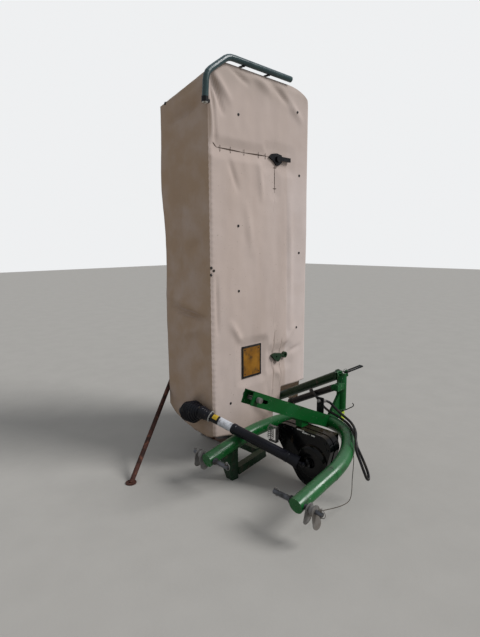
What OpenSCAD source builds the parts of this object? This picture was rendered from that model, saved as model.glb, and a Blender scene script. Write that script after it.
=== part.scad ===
// Rear disc mower, folded upright under its canvas cover and parked on the ground.
// X points forward to the tractor, Y to the machine's left, Z up.
// Heights are drawn from a level plane below the lower link pins, and the ground lies under it.
// place() moves every piece to the middle of the machine's base, with the ground at zero.

/* [Headstock] */
// Depth of the ground below the drawing plane
ground = 130; // [120:1:134]
// Outer diameter of the bow tube
bow_d = 104; // [80:1:130]
// Wall of the bow tube
bow_wall = 8; // [4:1:12]
// Half the distance between the two legs of the bow
bow_half = 422; // [400:1:440]
// Length of the bow along its slope, pin to crown
bow_reach = 899; // [820:1:980]
// Rise of the bow towards the rear
bow_pitch = 10.7; // [8:0.1:14]
// Depth of the bow's curved rear part
bow_arch = 545; // [500:1:580]
// Radius of the bow's sides where they begin to curve
bow_side_r = 700; // [640:1:800]
// Height of the lower link pins above the drawing plane
pin_z = 109; // [95:1:130]
// Straight tube in front of the pins
bow_nose = 32; // [30:1:60]
// Diameter of the lower link pins
link_pin_d = 28; // [25:0.5:32]
// Diameter of the inner part of the lower link pins
link_core_d = 36; // [33:0.5:40]
// Reach of each pin inside its leg
link_inner = 150; // [100:1:200]
// Reach of each pin outside its leg
link_outer = 128; // [110:1:150]
// Diameter of the hitch balls
ball_d = 56; // [50:1:64]

/* [Mast] */
// Height of the mast box
mast_h = 96; // [80:1:120]
// Width of the mast box
mast_w = 90; // [70:1:110]
// Wall of the mast box
mast_wall = 8; // [5:1:12]
// Length of the mast from the crown of the bow
mast_len = 998; // [900:1:1050]
// Rise of the mast towards the front
mast_pitch = 25.1; // [22:0.1:28]
// Diameter of the top link pin
top_pin_d = 25.4; // [22:0.1:32]

/* [Carrier] */
// Height of the fold axis
fold_z = 240; // [232:1:262]
// Distance of the fold axis from the centre line
fold_y = 740; // [715:1:770]
// Diameter of the fold shaft
fold_d = 42; // [35:1:50]
// Diameter of the dark carrier tube
arm_d = 76; // [60:1:84]
// Wall of the dark carrier tube
arm_wall = 7; // [4:1:10]
// Outer diameter of the rear post
post_d = 80; // [70:1:90]
// Height of the top of the rear post
post_top = 640; // [605:1:665]
// Side of the low box beam
beam_s = 60; // [50:1:64]
// Wall of the low box beam
beam_wall = 5; // [3:1:8]

/* [Belt casing] */
// Height of the drive input above the drawing plane
input_z = 86; // [60:1:110]
// Distance of the drive input from the centre line
input_y = 102; // [90:1:140]
// Depth of the casing along X
case_t = 112; // [90:1:114]
// Radius of the casing round the large pulley
case_r1 = 148; // [130:1:150]
// Radius of the casing round the idler
case_r2 = 95; // [80:1:96]
// Radius of the casing round the driven pulley
case_r3 = 90; // [75:1:92]

/* [Drive shaft] */
// Outer diameter of the thick guard tube
guard_d1 = 80; // [70:1:82]
// Outer diameter of the thin guard tube
guard_d2 = 68; // [56:1:70]
// Outer diameter of the bell at its widest
bell_d = 170; // [150:1:178]
// Bore of the outer yoke
yoke_bore = 35; // [30:0.5:38]

/* [Cutter bar] */
// Number of discs
disc_n = 6; // [4:1:6]
// Distance between disc centres
disc_pitch = 400; // [390:1:420]
// Radius of the disc at its blade bolts
disc_r = 196; // [180:1:205]
// Radius swept by the blade tips
blade_r = 252; // [240:1:256]
// Width of the bar housing
bar_w = 290; // [250:1:330]
// Thickness of the bar housing
bar_t = 58; // [45:1:70]
// Height of the first disc centre
first_disc_z = 520; // [505:1:540]

/* [Cover] */
// Distance of the top of the hood from the centre line
cover_y = 657; // [650:1:665]
// Place of the front curtain along X
cover_x = 233; // [228:1:240]
// Width of the cover along X
cover_w = 1186; // [1150:1:1210]
// Depth of the curtains
cover_d = 574; // [540:1:590]
// Thickness of the canvas
cover_t = 6; // [4:1:8]
// Height of the cover at its upper edge
cover_top = 3030; // [2960:1:3060]
// Height of the lower front corner of the cover
cover_low = 134; // [120:1:150]
// Outer diameter of the guard tube
rail_d = 48; // [38:1:52]

/* [Prop] */
// Diameter of the prop bar
prop_d = 38; // [30:1:45]
// Distance of the prop foot ahead of the link pins
prop_x = 389; // [380:1:420]

/* [Hidden] */
$fn = 64;

// Clearance of a pin in its bore
fit = 0.3;
// Clearance of a pin that turns in its bore
run = 0.1;
// Clearance where one welded piece is cut to lie on another
seat = 0.3;

bow_r = bow_d / 2;
leg_len = bow_reach - bow_arch;
crown_r = (pow(bow_side_r, 2) - pow(bow_side_r - bow_half, 2) - pow(bow_arch, 2)) / 2 / (bow_side_r - bow_arch);
side_turn = atan2(bow_arch - crown_r, bow_side_r - bow_half);
crown = [-bow_reach * cos(bow_pitch), 0, pin_z + bow_reach * sin(bow_pitch)];

// The fold shaft lies along X
fold_x1 = -500;
fold_x2 = -1165;

// Rear post behind the crown of the bow
post_x = -1085;
post_low = 330;
notch = 40;

// Discs stand on the inboard face of the upright bar
bar_x = -672;
bar_y = -1196;
bar_low = 24;
bar_high = first_disc_z + (disc_n - 1) * disc_pitch + 235;
bar_face = bar_y + bar_t;
skid_t = 8;

// Casing and drive input: front face, and the centres of its three pulleys in Y and height
case_front = -500;
pulley_1 = [112, 47];
pulley_2 = [215, 238];
pulley_3 = [-120, 243];
input_joint = [-452, input_y, input_z];
stub_end = case_front + 26;
knuckle_r = input_joint[0] - stub_end - seat;

// The drive shaft lies over the right leg of the bow
shaft_end = [-150, -678, 360];
shaft_run = shaft_end - input_joint;
shaft_len = norm(shaft_run);
bell_aim = [25, -300, -50];

// The fold cylinder lies beside the carrier tube
cyl_x = -1000;
cyl_base = [cyl_x, 0, 535];
crank_r = 120;
crank_a = -110;
cyl_eye = [cyl_x, -fold_y + crank_r * cos(crank_a), fold_z + crank_r * sin(crank_a)];
cyl_len = norm(cyl_eye - cyl_base);
cyl_d = 56;
rod_d = 30;
eye_d = 44;
cyl_pin_d = 22;
eye_half = 17;
eye_gap = eye_half + seat;
lug_t = 12;
lug_r = 27;

// Prop bar from its bracket under the bar down to its foot
prop_foot = [prop_x, -914, -ground];
prop_top = [-360, -1333, 539];
prop_foot_r = 42;
prop_pin_d = 16;

// Ends of the whole machine, for the middle of its base
x_front = prop_foot[0] + prop_foot_r;
x_back = -cover_x - cover_w;
y_left = bow_half + bow_r + link_outer;
prop_a = atan2(prop_top[1] - prop_foot[1], prop_top[0] - prop_foot[0]);
fork_back = 62;
fork_half = prop_d / 2 + 12;
cheek = 9;
y_right = prop_top[1] + fork_back * sin(prop_a) + fork_half * cos(prop_a);

module place() {
    translate([-(x_front + x_back) / 2, -(y_left + y_right) / 2, ground]) children();
}

// Turns +Z onto the run from a to b
module along(a, b) {
    v = b - a;
    translate(a)
        rotate([0, acos(v[2] / norm(v)), atan2(v[1], v[0])])
            children();
}

// A cylinder along X from x1 to x2 about the line y, z
module rod_x(x1, x2, y, z, d) {
    translate([min(x1, x2), y, z])
        rotate([0, 90, 0])
            cylinder(d = d, h = abs(x2 - x1));
}

// A cylinder along Y from y1 to y2 about the line x, z
module rod_y(y1, y2, x, z, d) {
    translate([x, max(y1, y2), z])
        rotate([90, 0, 0])
            cylinder(d = d, h = abs(y2 - y1));
}

module block(a, b) {
    lo = [min(a[0], b[0]), min(a[1], b[1]), min(a[2], b[2])];
    hi = [max(a[0], b[0]), max(a[1], b[1]), max(a[2], b[2])];
    translate(lo) cube(hi - lo);
}

// All that lies under the ground, to be cut away
module below_ground() {
    translate([-2500, -2500, -ground - 300]) cube([5000, 5000, 300]);
}

// Corners where the common tangents touch two circles, radii r1 and r2 at distance d
function flank(r1, r2, d) = let (a = acos((r1 - r2) / d)) [[r1 * cos(a), r1 * sin(a)],
    [d + r2 * cos(a), r2 * sin(a)], [d + r2 * cos(a), -r2 * sin(a)], [r1 * cos(a), -r1 * sin(a)]];

// Corners of the belt round three circles at c with radii r, taken anticlockwise
function girth(c, r) = [for (i = [0:2]) let (j = (i + 1) % 3, v = c[j] - c[i], d = norm(v),
    t = atan2(v[1], v[0]) - acos((r[i] - r[j]) / d)) for (k = [i, j]) c[k] + r[k] * [cos(t), sin(t)]];

// The two circles and the strip between their tangents
module oblong(r1, r2, d) {
    circle(r = r1);
    translate([d, 0]) circle(r = r2);
    polygon(flank(r1, r2, d));
}

// Plane of the bow: the drawing's XY plane tipped up towards the rear
module on_bow() {
    translate([0, 0, pin_z]) rotate([0, bow_pitch, 0]) children();
}

module bow_sweep(r) {
    for (side = [-1, 1])
        translate([-leg_len, side * bow_half, 0])
            rotate([0, 90, 0])
                cylinder(r = r, h = leg_len + bow_nose);
    bow_arc(-leg_len, bow_half - bow_side_r, bow_side_r, 90, side_turn, r);
    bow_arc(-leg_len - bow_arch + crown_r, 0, crown_r, 90 + side_turn, 180 - 2 * side_turn, r);
    bow_arc(-leg_len, bow_side_r - bow_half, bow_side_r, 270 - side_turn, side_turn, r);
}

// One arc of the bow about the point x, y, from the angle a over the angle span
module bow_arc(x, y, big, a, span, r) {
    translate([x, y, 0])
        rotate([0, 0, a])
            rotate_extrude(angle = span)
                translate([big, 0]) circle(r = r);
}

module hitch_bow() {
    weld_r = bow_r + 1.5;
    weld_w = 8;
    joint_x = leg_len + bow_side_r * sin(side_turn);
    joint_y = bow_half - bow_side_r * (1 - cos(side_turn));
    color("forestgreen") place() difference() {
        on_bow() {
            bow_sweep(bow_r);
            for (side = [-1, 1]) {
                translate([-leg_len - weld_w / 2, side * bow_half, 0]) rotate([0, 90, 0]) cylinder(r = weld_r, h = weld_w);
                translate([-joint_x, side * joint_y, 0]) rotate([0, 90, -side * side_turn + 180])
                    cylinder(r = weld_r, h = weld_w, center = true);
            }
        }
        on_bow() for (side = [-1, 1]) translate([20 - leg_len, side * bow_half, 0])
            rotate([0, 90, 0]) cylinder(r = bow_r - bow_wall, h = leg_len - 20 + bow_nose - bow_wall);
        for (side = [-1, 1])
            rod_y(side * (bow_half - 100), side * (bow_half + 100), 0, pin_z, link_core_d + 2 * fit);
    }
}

// Pin, stepped down outside the leg, with a hole for its linch pin
module link_pin(side) {
    collar = bow_half + bow_r + 6;
    color("silver") place() difference() {
        union() {
            rod_y(side * (bow_half - bow_r - link_inner), side * collar, 0, pin_z, link_core_d);
            rod_y(side * (bow_half - bow_r - 8), side * (bow_half - bow_r - 14), 0, pin_z, link_core_d + 16);
            rod_y(side * collar, side * (bow_half + bow_r + link_outer), 0, pin_z, link_pin_d);
        }
        translate([0, side * (bow_half - bow_r - link_inner + 18), pin_z - 40]) cylinder(d = 11, h = 80);
        translate([0, side * (bow_half + bow_r + link_outer - 12), pin_z - 40]) cylinder(d = 11, h = 80);
    }
}

module link_pin_left() { link_pin(1); }
module link_pin_right() { link_pin(-1); }

// Ball with two sheet wings that hang to the ground
module catch_guide(side) {
    mid = side * (bow_half + bow_r + 52);
    wing_t = 5;
    color("gainsboro") place() difference() {
        union() {
            translate([0, mid, pin_z]) sphere(d = ball_d);
            rod_y(mid - 27, mid + 27, 0, pin_z, 40);
            for (s = [-1, 1])
                translate([0, mid + s * 24, pin_z])
                    rotate([s * 9, 0, 0])
                        translate([0, wing_t / 2, 0])
                            rotate([90, 0, 0])
                                linear_extrude(wing_t) {
                                    for (y = [0, -74]) translate([0, y]) circle(r = 38);
                                    translate([-38, -74]) square([76, 74]);
                                }
        }
        rod_y(mid - 60, mid + 60, 0, pin_z, link_pin_d + 2 * fit);
    }
}

module catch_guide_left() { catch_guide(1); }
module catch_guide_right() { catch_guide(-1); }

// Along the mast: x forward from the crown, z square to it
module on_mast() {
    translate(crown) rotate([0, -mast_pitch, 0]) children();
}

top_pin_x = mast_len - 48;
slot_len = 104;
case_top = pulley_2[1] + case_r2;

module mast_arm() {
    color("green") place() difference() {
        union() {
            on_mast() translate([0, -mast_w / 2, -mast_h / 2]) cube([mast_len, mast_w, mast_h]);
            block([case_front - case_t + 12, -30, case_top + seat], [case_front - 22, 30, case_top + 80]);
        }
        on_mast() {
            translate([100, -mast_w / 2 + mast_wall, -mast_h / 2 + mast_wall])
                cube([mast_len, mast_w - 2 * mast_wall, mast_h - 2 * mast_wall]);
            translate([mast_len - 130, -mast_w / 2 + mast_wall, -mast_h])
                cube([200, mast_w - 2 * mast_wall, mast_h]);
            for (x = [top_pin_x - slot_len, top_pin_x])
                translate([x, mast_w, 0]) rotate([90, 0, 0]) cylinder(d = top_pin_d + 2 * fit, h = 2 * mast_w);
            translate([top_pin_x - slot_len, -mast_w, -top_pin_d / 2 - fit])
                cube([slot_len, 2 * mast_w, top_pin_d + 2 * fit]);
        }
        on_bow() bow_sweep(bow_r + seat);
    }
}

module mast_pin() {
    color("dimgray") place() on_mast() {
        translate([top_pin_x, mast_w / 2 + 26, 0]) rotate([90, 0, 0]) cylinder(d = top_pin_d, h = mast_w + 52);
        translate([top_pin_x, mast_w / 2 + 34, 0]) rotate([90, 0, 0]) cylinder(d = 38, h = 8 + 20);
    }
}

// Channel that stands under the right leg of the bow
foot_x = -200;
foot_w = 110;
foot_y = -384;

module parking_foot() {
    wall = 8;
    deep = 68;
    top = pin_z + 40;
    flange_top = pin_z + 10;
    back = foot_x - foot_w / 2;
    toe = back + 64;
    brow = back + 165;
    brow_low = toe + (brow - toe) * (flange_top + ground) / (top + ground);
    color("green") place() difference() {
        translate([0, foot_y, 0]) rotate([90, 0, 0]) {
            linear_extrude(wall) polygon([[back, -ground], [toe, -ground], [brow, top], [back, top]]);
            linear_extrude(deep) {
                polygon([[back, -ground], [back + wall, -ground], [back + wall, flange_top], [back, flange_top]]);
                polygon([[toe - wall, -ground], [toe, -ground], [brow_low, flange_top], [brow_low - wall, flange_top]]);
                polygon([[back, -ground], [toe, -ground], [toe, wall - ground], [back, wall - ground]]);
            }
        }
        on_bow() bow_sweep(bow_r + seat);
    }
}

// Low box beam behind the parking foot, parallel to the bow
beam_a = [foot_x - foot_w / 2 - seat, -402, -66];
beam_len = 312;
beam_pitch = 8;

module box_run(a, b, s, w) {
    v = b - a;
    translate(a) rotate([0, 0, atan2(v[1], v[0])]) rotate([0, 90, 0])
        linear_extrude(norm(v)) difference() {
            square(s, center = true);
            if (w > 0) square(s - 2 * w, center = true);
        }
}

module low_beam() {
    color("forestgreen") place() difference() {
        translate(beam_a) rotate([0, beam_pitch, 0]) difference() {
            translate([-beam_len, -beam_s / 2, -beam_s / 2]) cube([beam_len + 12, beam_s, beam_s]);
            translate([-beam_len - 1, -beam_s / 2 + beam_wall, -beam_s / 2 + beam_wall])
                cube([beam_len - 60, beam_s - 2 * beam_wall, beam_s - 2 * beam_wall]);
        }
        block([beam_a[0], -600, -300], [beam_a[0] + 200, 0, 300]);
    }
}

// Arm from the low beam to the front fold bearing
arm_x = -533;
arm_w = 50;

module cross_arm() {
    near = beam_a[1] - beam_s / 2 - seat;
    low = -40;
    high = 12;
    half = 38;
    color("darkgreen") place() difference() {
        union() {
            block([arm_x - arm_w / 2, near, low], [arm_x + arm_w / 2, -fold_y - half, high]);
            block([arm_x - arm_w / 2, -fold_y - half, low], [arm_x + arm_w / 2, -fold_y + half, fold_z]);
            rod_x(arm_x - arm_w / 2, arm_x + arm_w / 2, -fold_y, fold_z, 2 * half);
        }
        rod_x(arm_x - 100, arm_x + 100, -fold_y, fold_z, fold_d + 2 * fit);
    }
}

// Slotted transport link on its pin at the top of the post
link_a = [-1102, 32, post_top + 9];
link_b = [-1250, 82, post_top + 40];
link_hole = 22;

// Post behind the bow, with the gusset that ties it to the crown
module rear_post() {
    color("darkgreen") place() difference() {
        union() {
            translate([post_x, 0, post_low]) cylinder(d = post_d, h = post_top - post_low);
            translate([0, 12, 0]) rotate([90, 0, 0]) linear_extrude(24)
                polygon([[crown[0] + 10, crown[2] - 30], [crown[0] - 20, crown[2] + 40], [post_x, 520],
                    [post_x - 34, 330], [post_x - 18, 262], [post_x + 16, 262]]);
            along(link_a, link_b) rotate([0, 90, 0]) translate([0, 0, -12])
                cylinder(d = link_hole - 2 * fit, h = 50);
            for (x = [cyl_x - eye_gap - lug_t, cyl_x + eye_gap])
                translate([x, 0, cyl_base[2]]) rotate([90, 0, 90]) linear_extrude(lug_t) {
                    circle(r = lug_r);
                    translate([0, -lug_r]) square([40, 2 * lug_r]);
                }
            block([cyl_x - eye_gap - lug_t, lug_r, cyl_base[2] - lug_r],
                [cyl_x + eye_gap + lug_t, 40, cyl_base[2] + lug_r]);
            block([post_x + 20, -8, cyl_base[2] - lug_r], [cyl_x - eye_gap - lug_t / 2, 40, cyl_base[2] + lug_r]);
            rod_x(cyl_x - eye_gap - lug_t - 4, cyl_x + eye_gap + lug_t + 4, 0, cyl_base[2], cyl_pin_d);
        }
        on_bow() bow_sweep(bow_r + seat);
        translate([post_x, 0, post_top]) rotate([45, 0, 0]) cube([200, notch, notch], center = true);
        translate([post_x, 0, post_low - 1]) cylinder(d = post_d - 16, h = post_top - post_low + 2);
    }
}

tube_a = [-1112, -post_d / 2 - 12, post_top - 36];
tube_b = [-1104, -fold_y, fold_z];

module carrier_tube() {
    v = tube_b - tube_a;
    color("darkslategray") place() difference() {
        union() {
            along(tube_a, tube_b) cylinder(d = arm_d, h = norm(v) - 20);
            rod_x(tube_b[0] - 36, tube_b[0] + 36, tube_b[1], tube_b[2], 74);
            along(tube_a, tube_b) translate([0, 0, -12]) cylinder(d = arm_d + 16, h = 14);
            block([post_x - 60, -60, post_top - 68], [post_x + 30, -post_d / 2 + 4, post_top - 4]);
        }
        translate([post_x, 0, 0]) cylinder(d = post_d + 2 * seat, h = 900);
        rod_x(tube_b[0] - 100, tube_b[0] + 100, tube_b[1], tube_b[2], fold_d + 2 * fit);
    }
}

module transport_link() {
    len = norm(link_b - link_a);
    color("black") place() along(link_a, link_b) rotate([0, 90, 0]) translate([0, 0, -5]) {
        linear_extrude(10) difference() {
            union() {
                translate([-len, -20]) square([len, 40]);
                circle(d = 40);
            }
            translate([-len + 16, -11]) square([len - 40, 22]);
            circle(d = link_hole);
        }
    }
}

module reflector() {
    color("yellow") place() block([post_x - 28, 12 + seat, 214], [post_x + 16, 19, 300]);
}

module belt_casing() {
    rim = 14;
    lip = 5;
    box_deep = 128;
    big = [case_r1, case_r2, case_r3];
    at = [pulley_1, pulley_2, pulley_3];
    color("black") place() translate([case_front - case_t, 0, 0]) rotate([90, 0, 90]) union() {
        for (i = [0:2]) translate([at[i][0], at[i][1], 0]) cylinder(r = big[i] - lip, h = case_t);
        linear_extrude(case_t) polygon(girth(at, [for (b = big) b - lip - 0.05]));
        for (i = [0:2]) translate([at[i][0], at[i][1], case_t / 2 - rim / 2]) cylinder(r = big[i], h = rim);
        translate([0, 0, case_t / 2 - rim / 2]) linear_extrude(rim) polygon(girth(at, [for (b = big) b - 0.05]));
        translate([input_y, input_z, 20]) cylinder(r = 62, h = case_t - 20 + 6);
        translate([-150, 60, -box_deep]) cube([360, 215, box_deep + 10]);
    }
}

module input_stub() {
    color("dimgray") place()
        rod_x(case_front + 6 + seat, stub_end, input_y, input_z, 84);
}

module tensioner_spring() {
    wire = 8;
    coil_r = 22;
    turns = 6;
    pitch = 16;
    low = 176;
    axis_x = case_front + 22;
    axis_y = pulley_3[0] - case_r3 - 34;
    tall = turns * pitch;
    color("gray") place() union() {
        translate([axis_x, axis_y, low]) {
            for (k = [0:turns - 1])
                translate([0, 0, 8 + k * pitch]) rotate_extrude() translate([coil_r, 0]) circle(d = wire);
            cylinder(r = coil_r - 3, h = tall);
            translate([0, 0, -20]) cylinder(d = 12, h = tall + 40);
        }
        for (z = [low - 18, low + tall + 8])
            block([axis_x - 12, axis_y - 12, z], [axis_x + 12, -185, z + 8]);
        block([case_front + seat, -185, low - 18], [axis_x + 12, -177, low + tall + 16]);
    }
}

module hose_holder() {
    foot_z = crown[2] + (holder_x - crown[0]) * tan(mast_pitch) + mast_h / 2 / cos(mast_pitch);
    color("black") place() difference() {
        block([holder_x - 4, -52, foot_z - 20], [holder_x + 4, 12, plug_z + 30]);
        on_mast() translate([-50, -mast_w, -mast_h]) cube([400, 2 * mast_w, mast_h + mast_h / 2 + seat]);
        along(plug_a, plug_b) translate([0, 0, -100]) cylinder(d = plug_d + 2 * fit, h = 300);
    }
}

// Where the hose ends in its coupling, and the holder on the mast that takes it
plug_a = [-852, -20, 446];
plug_b = [-790, -20, 462];
plug_run = (plug_b - plug_a) / norm(plug_b - plug_a);
plug_d = 26;
plug_z = 455;
holder_x = -820;

// Route of the hydraulic hose, centre line
hose_d = 20;
hose_route = [[-1000, -250, 446.5], [-985, -235, 464], [-960, -205, 462], [-943, -150, 428], [-936, -110, 398], [-920, -50, 368],
    [-900, 20, 352], [-885, 110, 340], [-853, 216, 322], [-790, 300, 308], [-712, 372, 300], [-662, 420, 262],
    [-668, 452, 200], [-686, 478, 128], [-690, 500, 72], [-672, 514, 46], [-648, 512, 62], [-632, 500, 110],
    [-622, 474, 180], [-622, 440, 250], [-655, 410, 316], [-745, 352, 330], [-835, 258, 346], [-892, 130, 368],
    [-912, 55, 394], [-922, 5, 418], plug_a - 50 * plug_run, plug_a - 25 * plug_run, plug_a];

// Route of the thin cord, tied round the bow and to the left catch guide
cord_d = 5;
cord_route = [[-615, 417, 228], [-613, 425, 195], [-605, 429, 130], [-585, 436, 50], [-550, 456, -30],
    [-490, 475, -60], [-370, 495, -35], [-240, 505, 5], [-130, 503, 36], [-27, 492, 46]];

// A closed tube along a list of points
module tube_along(p, d, sides) {
    n = len(p);
    dir = [for (i = [0:n - 1]) let (q = p[min(i + 1, n - 1)] - p[max(i - 1, 0)]) q / norm(q)];
    rings = [for (i = [0:n - 1]) let (t = dir[i], u0 = cross(t, [0, 0, 1]),
        u = norm(u0) < 0.05 ? cross(t, [1, 0, 0]) / norm(cross(t, [1, 0, 0])) : u0 / norm(u0), w = cross(u, t))
        [for (k = [0:sides - 1]) p[i] + d / 2 * (cos(360 * k / sides) * u + sin(360 * k / sides) * w)]];
    pts = [for (r = rings) for (q = r) q];
    faces = concat(
        [[for (k = [0:sides - 1]) k]],
        [for (i = [0:n - 2]) for (k = [0:sides - 1])
            [i * sides + k, (i + 1) * sides + k, (i + 1) * sides + (k + 1) % sides, i * sides + (k + 1) % sides]],
        [[for (k = [0:sides - 1]) (n - 1) * sides + sides - 1 - k]]);
    polyhedron(points = pts, faces = faces);
}

// Points between the route's own, on a smooth curve through them
function smooth(p, m) = [for (i = [0:len(p) - 2]) for (s = [0:m - 1])
    let (t = s / m, a = p[max(i - 1, 0)], b = p[i], c = p[i + 1], d = p[min(i + 2, len(p) - 1)])
    0.5 * ((2 * b) + (c - a) * t + (2 * a - 5 * b + 4 * c - d) * t * t + (3 * b - a - 3 * c + d) * t * t * t),
    p[len(p) - 1]];

module hydraulic_hose() {
    color("black") place() tube_along(smooth(hose_route, 2), hose_d, 8);
}

module hose_coupling() {
    color("silver") place() along(plug_a, plug_b) {
        translate([0, 0, seat]) cylinder(d = 28, h = 14);
        translate([0, 0, 14]) cylinder(d = plug_d, h = norm(plug_b - plug_a) - 14);
    }
}

module pull_cord() {
    color("saddlebrown") place() tube_along(smooth(cord_route, 2), cord_d, 8);
}

// Barrel with its base eye, then the rod with its own
module cylinder_barrel() {
    color("dimgray") place() along(cyl_base, cyl_eye) {
        difference() {
            union() {
                rotate([0, 90, 90]) translate([0, 0, -eye_half]) cylinder(d = eye_d, h = 2 * eye_half);
                translate([0, 0, 18]) cylinder(d = 34, h = 20);
                translate([0, 0, 34]) cylinder(d = cyl_d, h = cyl_len * 0.56);
                translate([0, 0, 34 + cyl_len * 0.56 - 24]) cylinder(d = cyl_d + 10, h = 30);
            }
            translate([0, 0, 60]) cylinder(d = rod_d + 2, h = cyl_len);
            rotate([0, 90, 90]) translate([0, 0, -40]) cylinder(d = cyl_pin_d + 2 * run, h = 80);
        }
    }
}

module cylinder_rod() {
    inner_end = 255;
    color("silver") place() along(cyl_base, cyl_eye) {
        translate([0, 0, inner_end]) cylinder(d = rod_d, h = cyl_len - inner_end - 16);
        translate([0, 0, cyl_len]) rotate([0, 90, 90]) translate([0, 0, -14]) cylinder(d = eye_d, h = 28);
        translate([0, 0, cyl_len]) rotate([0, 90, 90]) translate([0, 0, -15]) cylinder(d = cyl_pin_d, h = 30);
    }
}

// Fold shaft, its two plates to the bar and their arms to the hood
plate_x = [-570, -880];
plate_t = 12;

module hinge_frame() {
    foot_y = bar_face + seat;
    color("darkgreen") place() difference() {
        union() {
            rod_x(fold_x1, fold_x2, -fold_y, fold_z, fold_d);
            for (x = plate_x) {
                translate([x - plate_t / 2, 0, 0])
                    rotate([90, 0, 90])
                        linear_extrude(plate_t) {
                            polygon([[-fold_y + 36, fold_z - 20], [-fold_y - 10, fold_z - 42], [foot_y + 80, 64],
                                [foot_y, 64], [foot_y, 252], [foot_y + 90, 252], [-fold_y - 130, fold_z + 60],
                                [-fold_y - 30, 442], [rail_y - rail_s / 2 - seat, 442], [-fold_y + 20, fold_z + 38]]);
                            translate([-fold_y, fold_z]) circle(r = 40);
                        }
                out = x > bar_x ? 1 : -1;
                block([x - out * plate_t / 2, foot_y, 64], [x + out * 30, foot_y + 10, 252]);
            }
            translate([cyl_x - 30, 0, 0])
                rotate([90, 0, 90])
                    linear_extrude(60)
                        translate([-fold_y, fold_z]) rotate([0, 0, crank_a]) oblong(38, eye_d / 2, crank_r);
            rod_x(cyl_x - 36, cyl_x + 36, cyl_eye[1], cyl_eye[2], cyl_pin_d + 8);
        }
        block([cyl_x - 16, -fold_y - 200, fold_z - 200], [cyl_x + 16, -fold_y + 200, fold_z - 44]);
    }
}

module inner_gearbox() {
    mid_z = 148;
    color("darkgreen") place() translate([bar_x, bar_face + seat, mid_z]) rotate([-90, 0, 0]) {
        cylinder(d = 190, h = 40);
        translate([0, 0, 40]) cylinder(d1 = 190, d2 = 150, h = 26);
        translate([0, 0, 66]) cylinder(d = 120, h = 38);
        for (a = [0:45:315]) rotate([0, 0, a]) translate([85, 0, 0]) cylinder(d = 20, h = 52);
    }
}

module cutter_beam() {
    color("firebrick") place() union() {
        block([bar_x - bar_w / 2 + bar_t / 2, bar_y, bar_low], [bar_x + bar_w / 2 - bar_t / 2, bar_face, bar_high]);
        for (s = [-1, 1])
            translate([bar_x + s * (bar_w - bar_t) / 2, bar_y + bar_t / 2, bar_low])
                cylinder(d = bar_t, h = bar_high - bar_low);
    }
}

// Wear plates under the bar, each bent round its leading edge below a disc
module bar_skids() {
    skid_w = 230;
    nose_x = bar_x + (bar_w - bar_t) / 2;
    strip = (disc_n - 1) * disc_pitch + skid_w;
    color("dimgray") place() {
        for (i = [0:disc_n - 1]) translate([0, 0, first_disc_z + i * disc_pitch - skid_w / 2])
            linear_extrude(skid_w) difference() {
                union() {
                    translate([nose_x, bar_y + bar_t / 2]) circle(r = bar_t / 2 + seat + skid_t);
                    translate([nose_x - 170, bar_y - seat - skid_t]) square([170, skid_t]);
                }
                translate([nose_x, bar_y + bar_t / 2]) circle(r = bar_t / 2 + seat);
                translate([nose_x - 170, bar_y - seat]) square([170, bar_t + 40]);
            }
        translate([nose_x - 120, bar_y - seat - skid_t, first_disc_z - skid_w / 2]) cube([60, skid_t, strip]);
    }
}

// Inner shoe: the folded machine stands on its sole
module inner_shoe() {
    sole_x1 = -975;
    sole_x2 = -575;
    sole_y1 = -1246;
    sole_y2 = -900;
    sole = 12;
    color("dimgray") place() union() {
        rotate([90, 0, 0]) translate([0, 0, -sole_y2]) linear_extrude(sole_y2 - sole_y1)
            polygon([[sole_x1 + 20, -ground], [sole_x2 - 20, -ground], [sole_x2, -ground + sole],
                [sole_x1, -ground + sole]]);
        for (x = [-860, -600]) block([x, bar_y, -ground + 6], [x + 16, bar_face + 80, bar_low - seat]);
        block([-860, bar_y, bar_low - seat - 12], [-584, bar_face, bar_low - seat]);
    }
}

module outer_shoe() {
    color("darkgreen") place() rotate([90, 0, 0]) translate([0, 0, -bar_face]) linear_extrude(bar_t + 20)
        polygon([[bar_x - 150, bar_high + seat], [bar_x + 178, bar_high + seat], [bar_x + 190, bar_high + 30],
            [bar_x + 120, bar_high + 52], [bar_x - 150, bar_high + 22]]);
}

// Light tube frame that holds the canvas off the discs
rail_s = 40;
rail_y = -cover_y - cover_t - rail_s / 2 - seat;
rail_x = [-290, -1345];

module hood_frame() {
    low = 400;
    high = 2880;
    shelf_z = first_disc_z + (disc_n - 1) * disc_pitch + blade_r + 12;
    color("darkgreen") place() {
        for (x = rail_x) block([x - rail_s / 2, rail_y - rail_s / 2, low], [x + rail_s / 2, rail_y + rail_s / 2, high]);
        for (z = [low, 1200, 2020, high - rail_s])
            block([rail_x[0], rail_y - rail_s / 2, z], [rail_x[1], rail_y + rail_s / 2, z + rail_s]);
        block([bar_x - 90, rail_y, shelf_z], [bar_x + 90, bar_face + seat, shelf_z + 10]);
        block([bar_x - 90, bar_face + seat, bar_high - 60], [bar_x + 90, bar_face + 10, shelf_z + 10]);
        for (x = [-84, 76]) block([bar_x + x, rail_y, shelf_z], [bar_x + x + 8, rail_y - 60, high]);
    }
}

// Outline of the hood seen square on, inset by t
module hood_outline(t, low) {
    r1 = [207, 146];
    r2 = [281, 132];
    x1 = -cover_x - t;
    x2 = -cover_x - cover_w + t;
    top = cover_top - t;
    polygon(concat(
        [[x1, low]],
        [for (a = [0:15:90]) [x1 - (r1[0] - t) * (1 - cos(a)), top - (r1[1] - t) * (1 - sin(a))]],
        [for (a = [90:-15:0]) [x2 + (r2[0] - t) * (1 - cos(a)), top - (r2[1] - t) * (1 - sin(a))]],
        [[x2, low]]));
}

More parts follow.
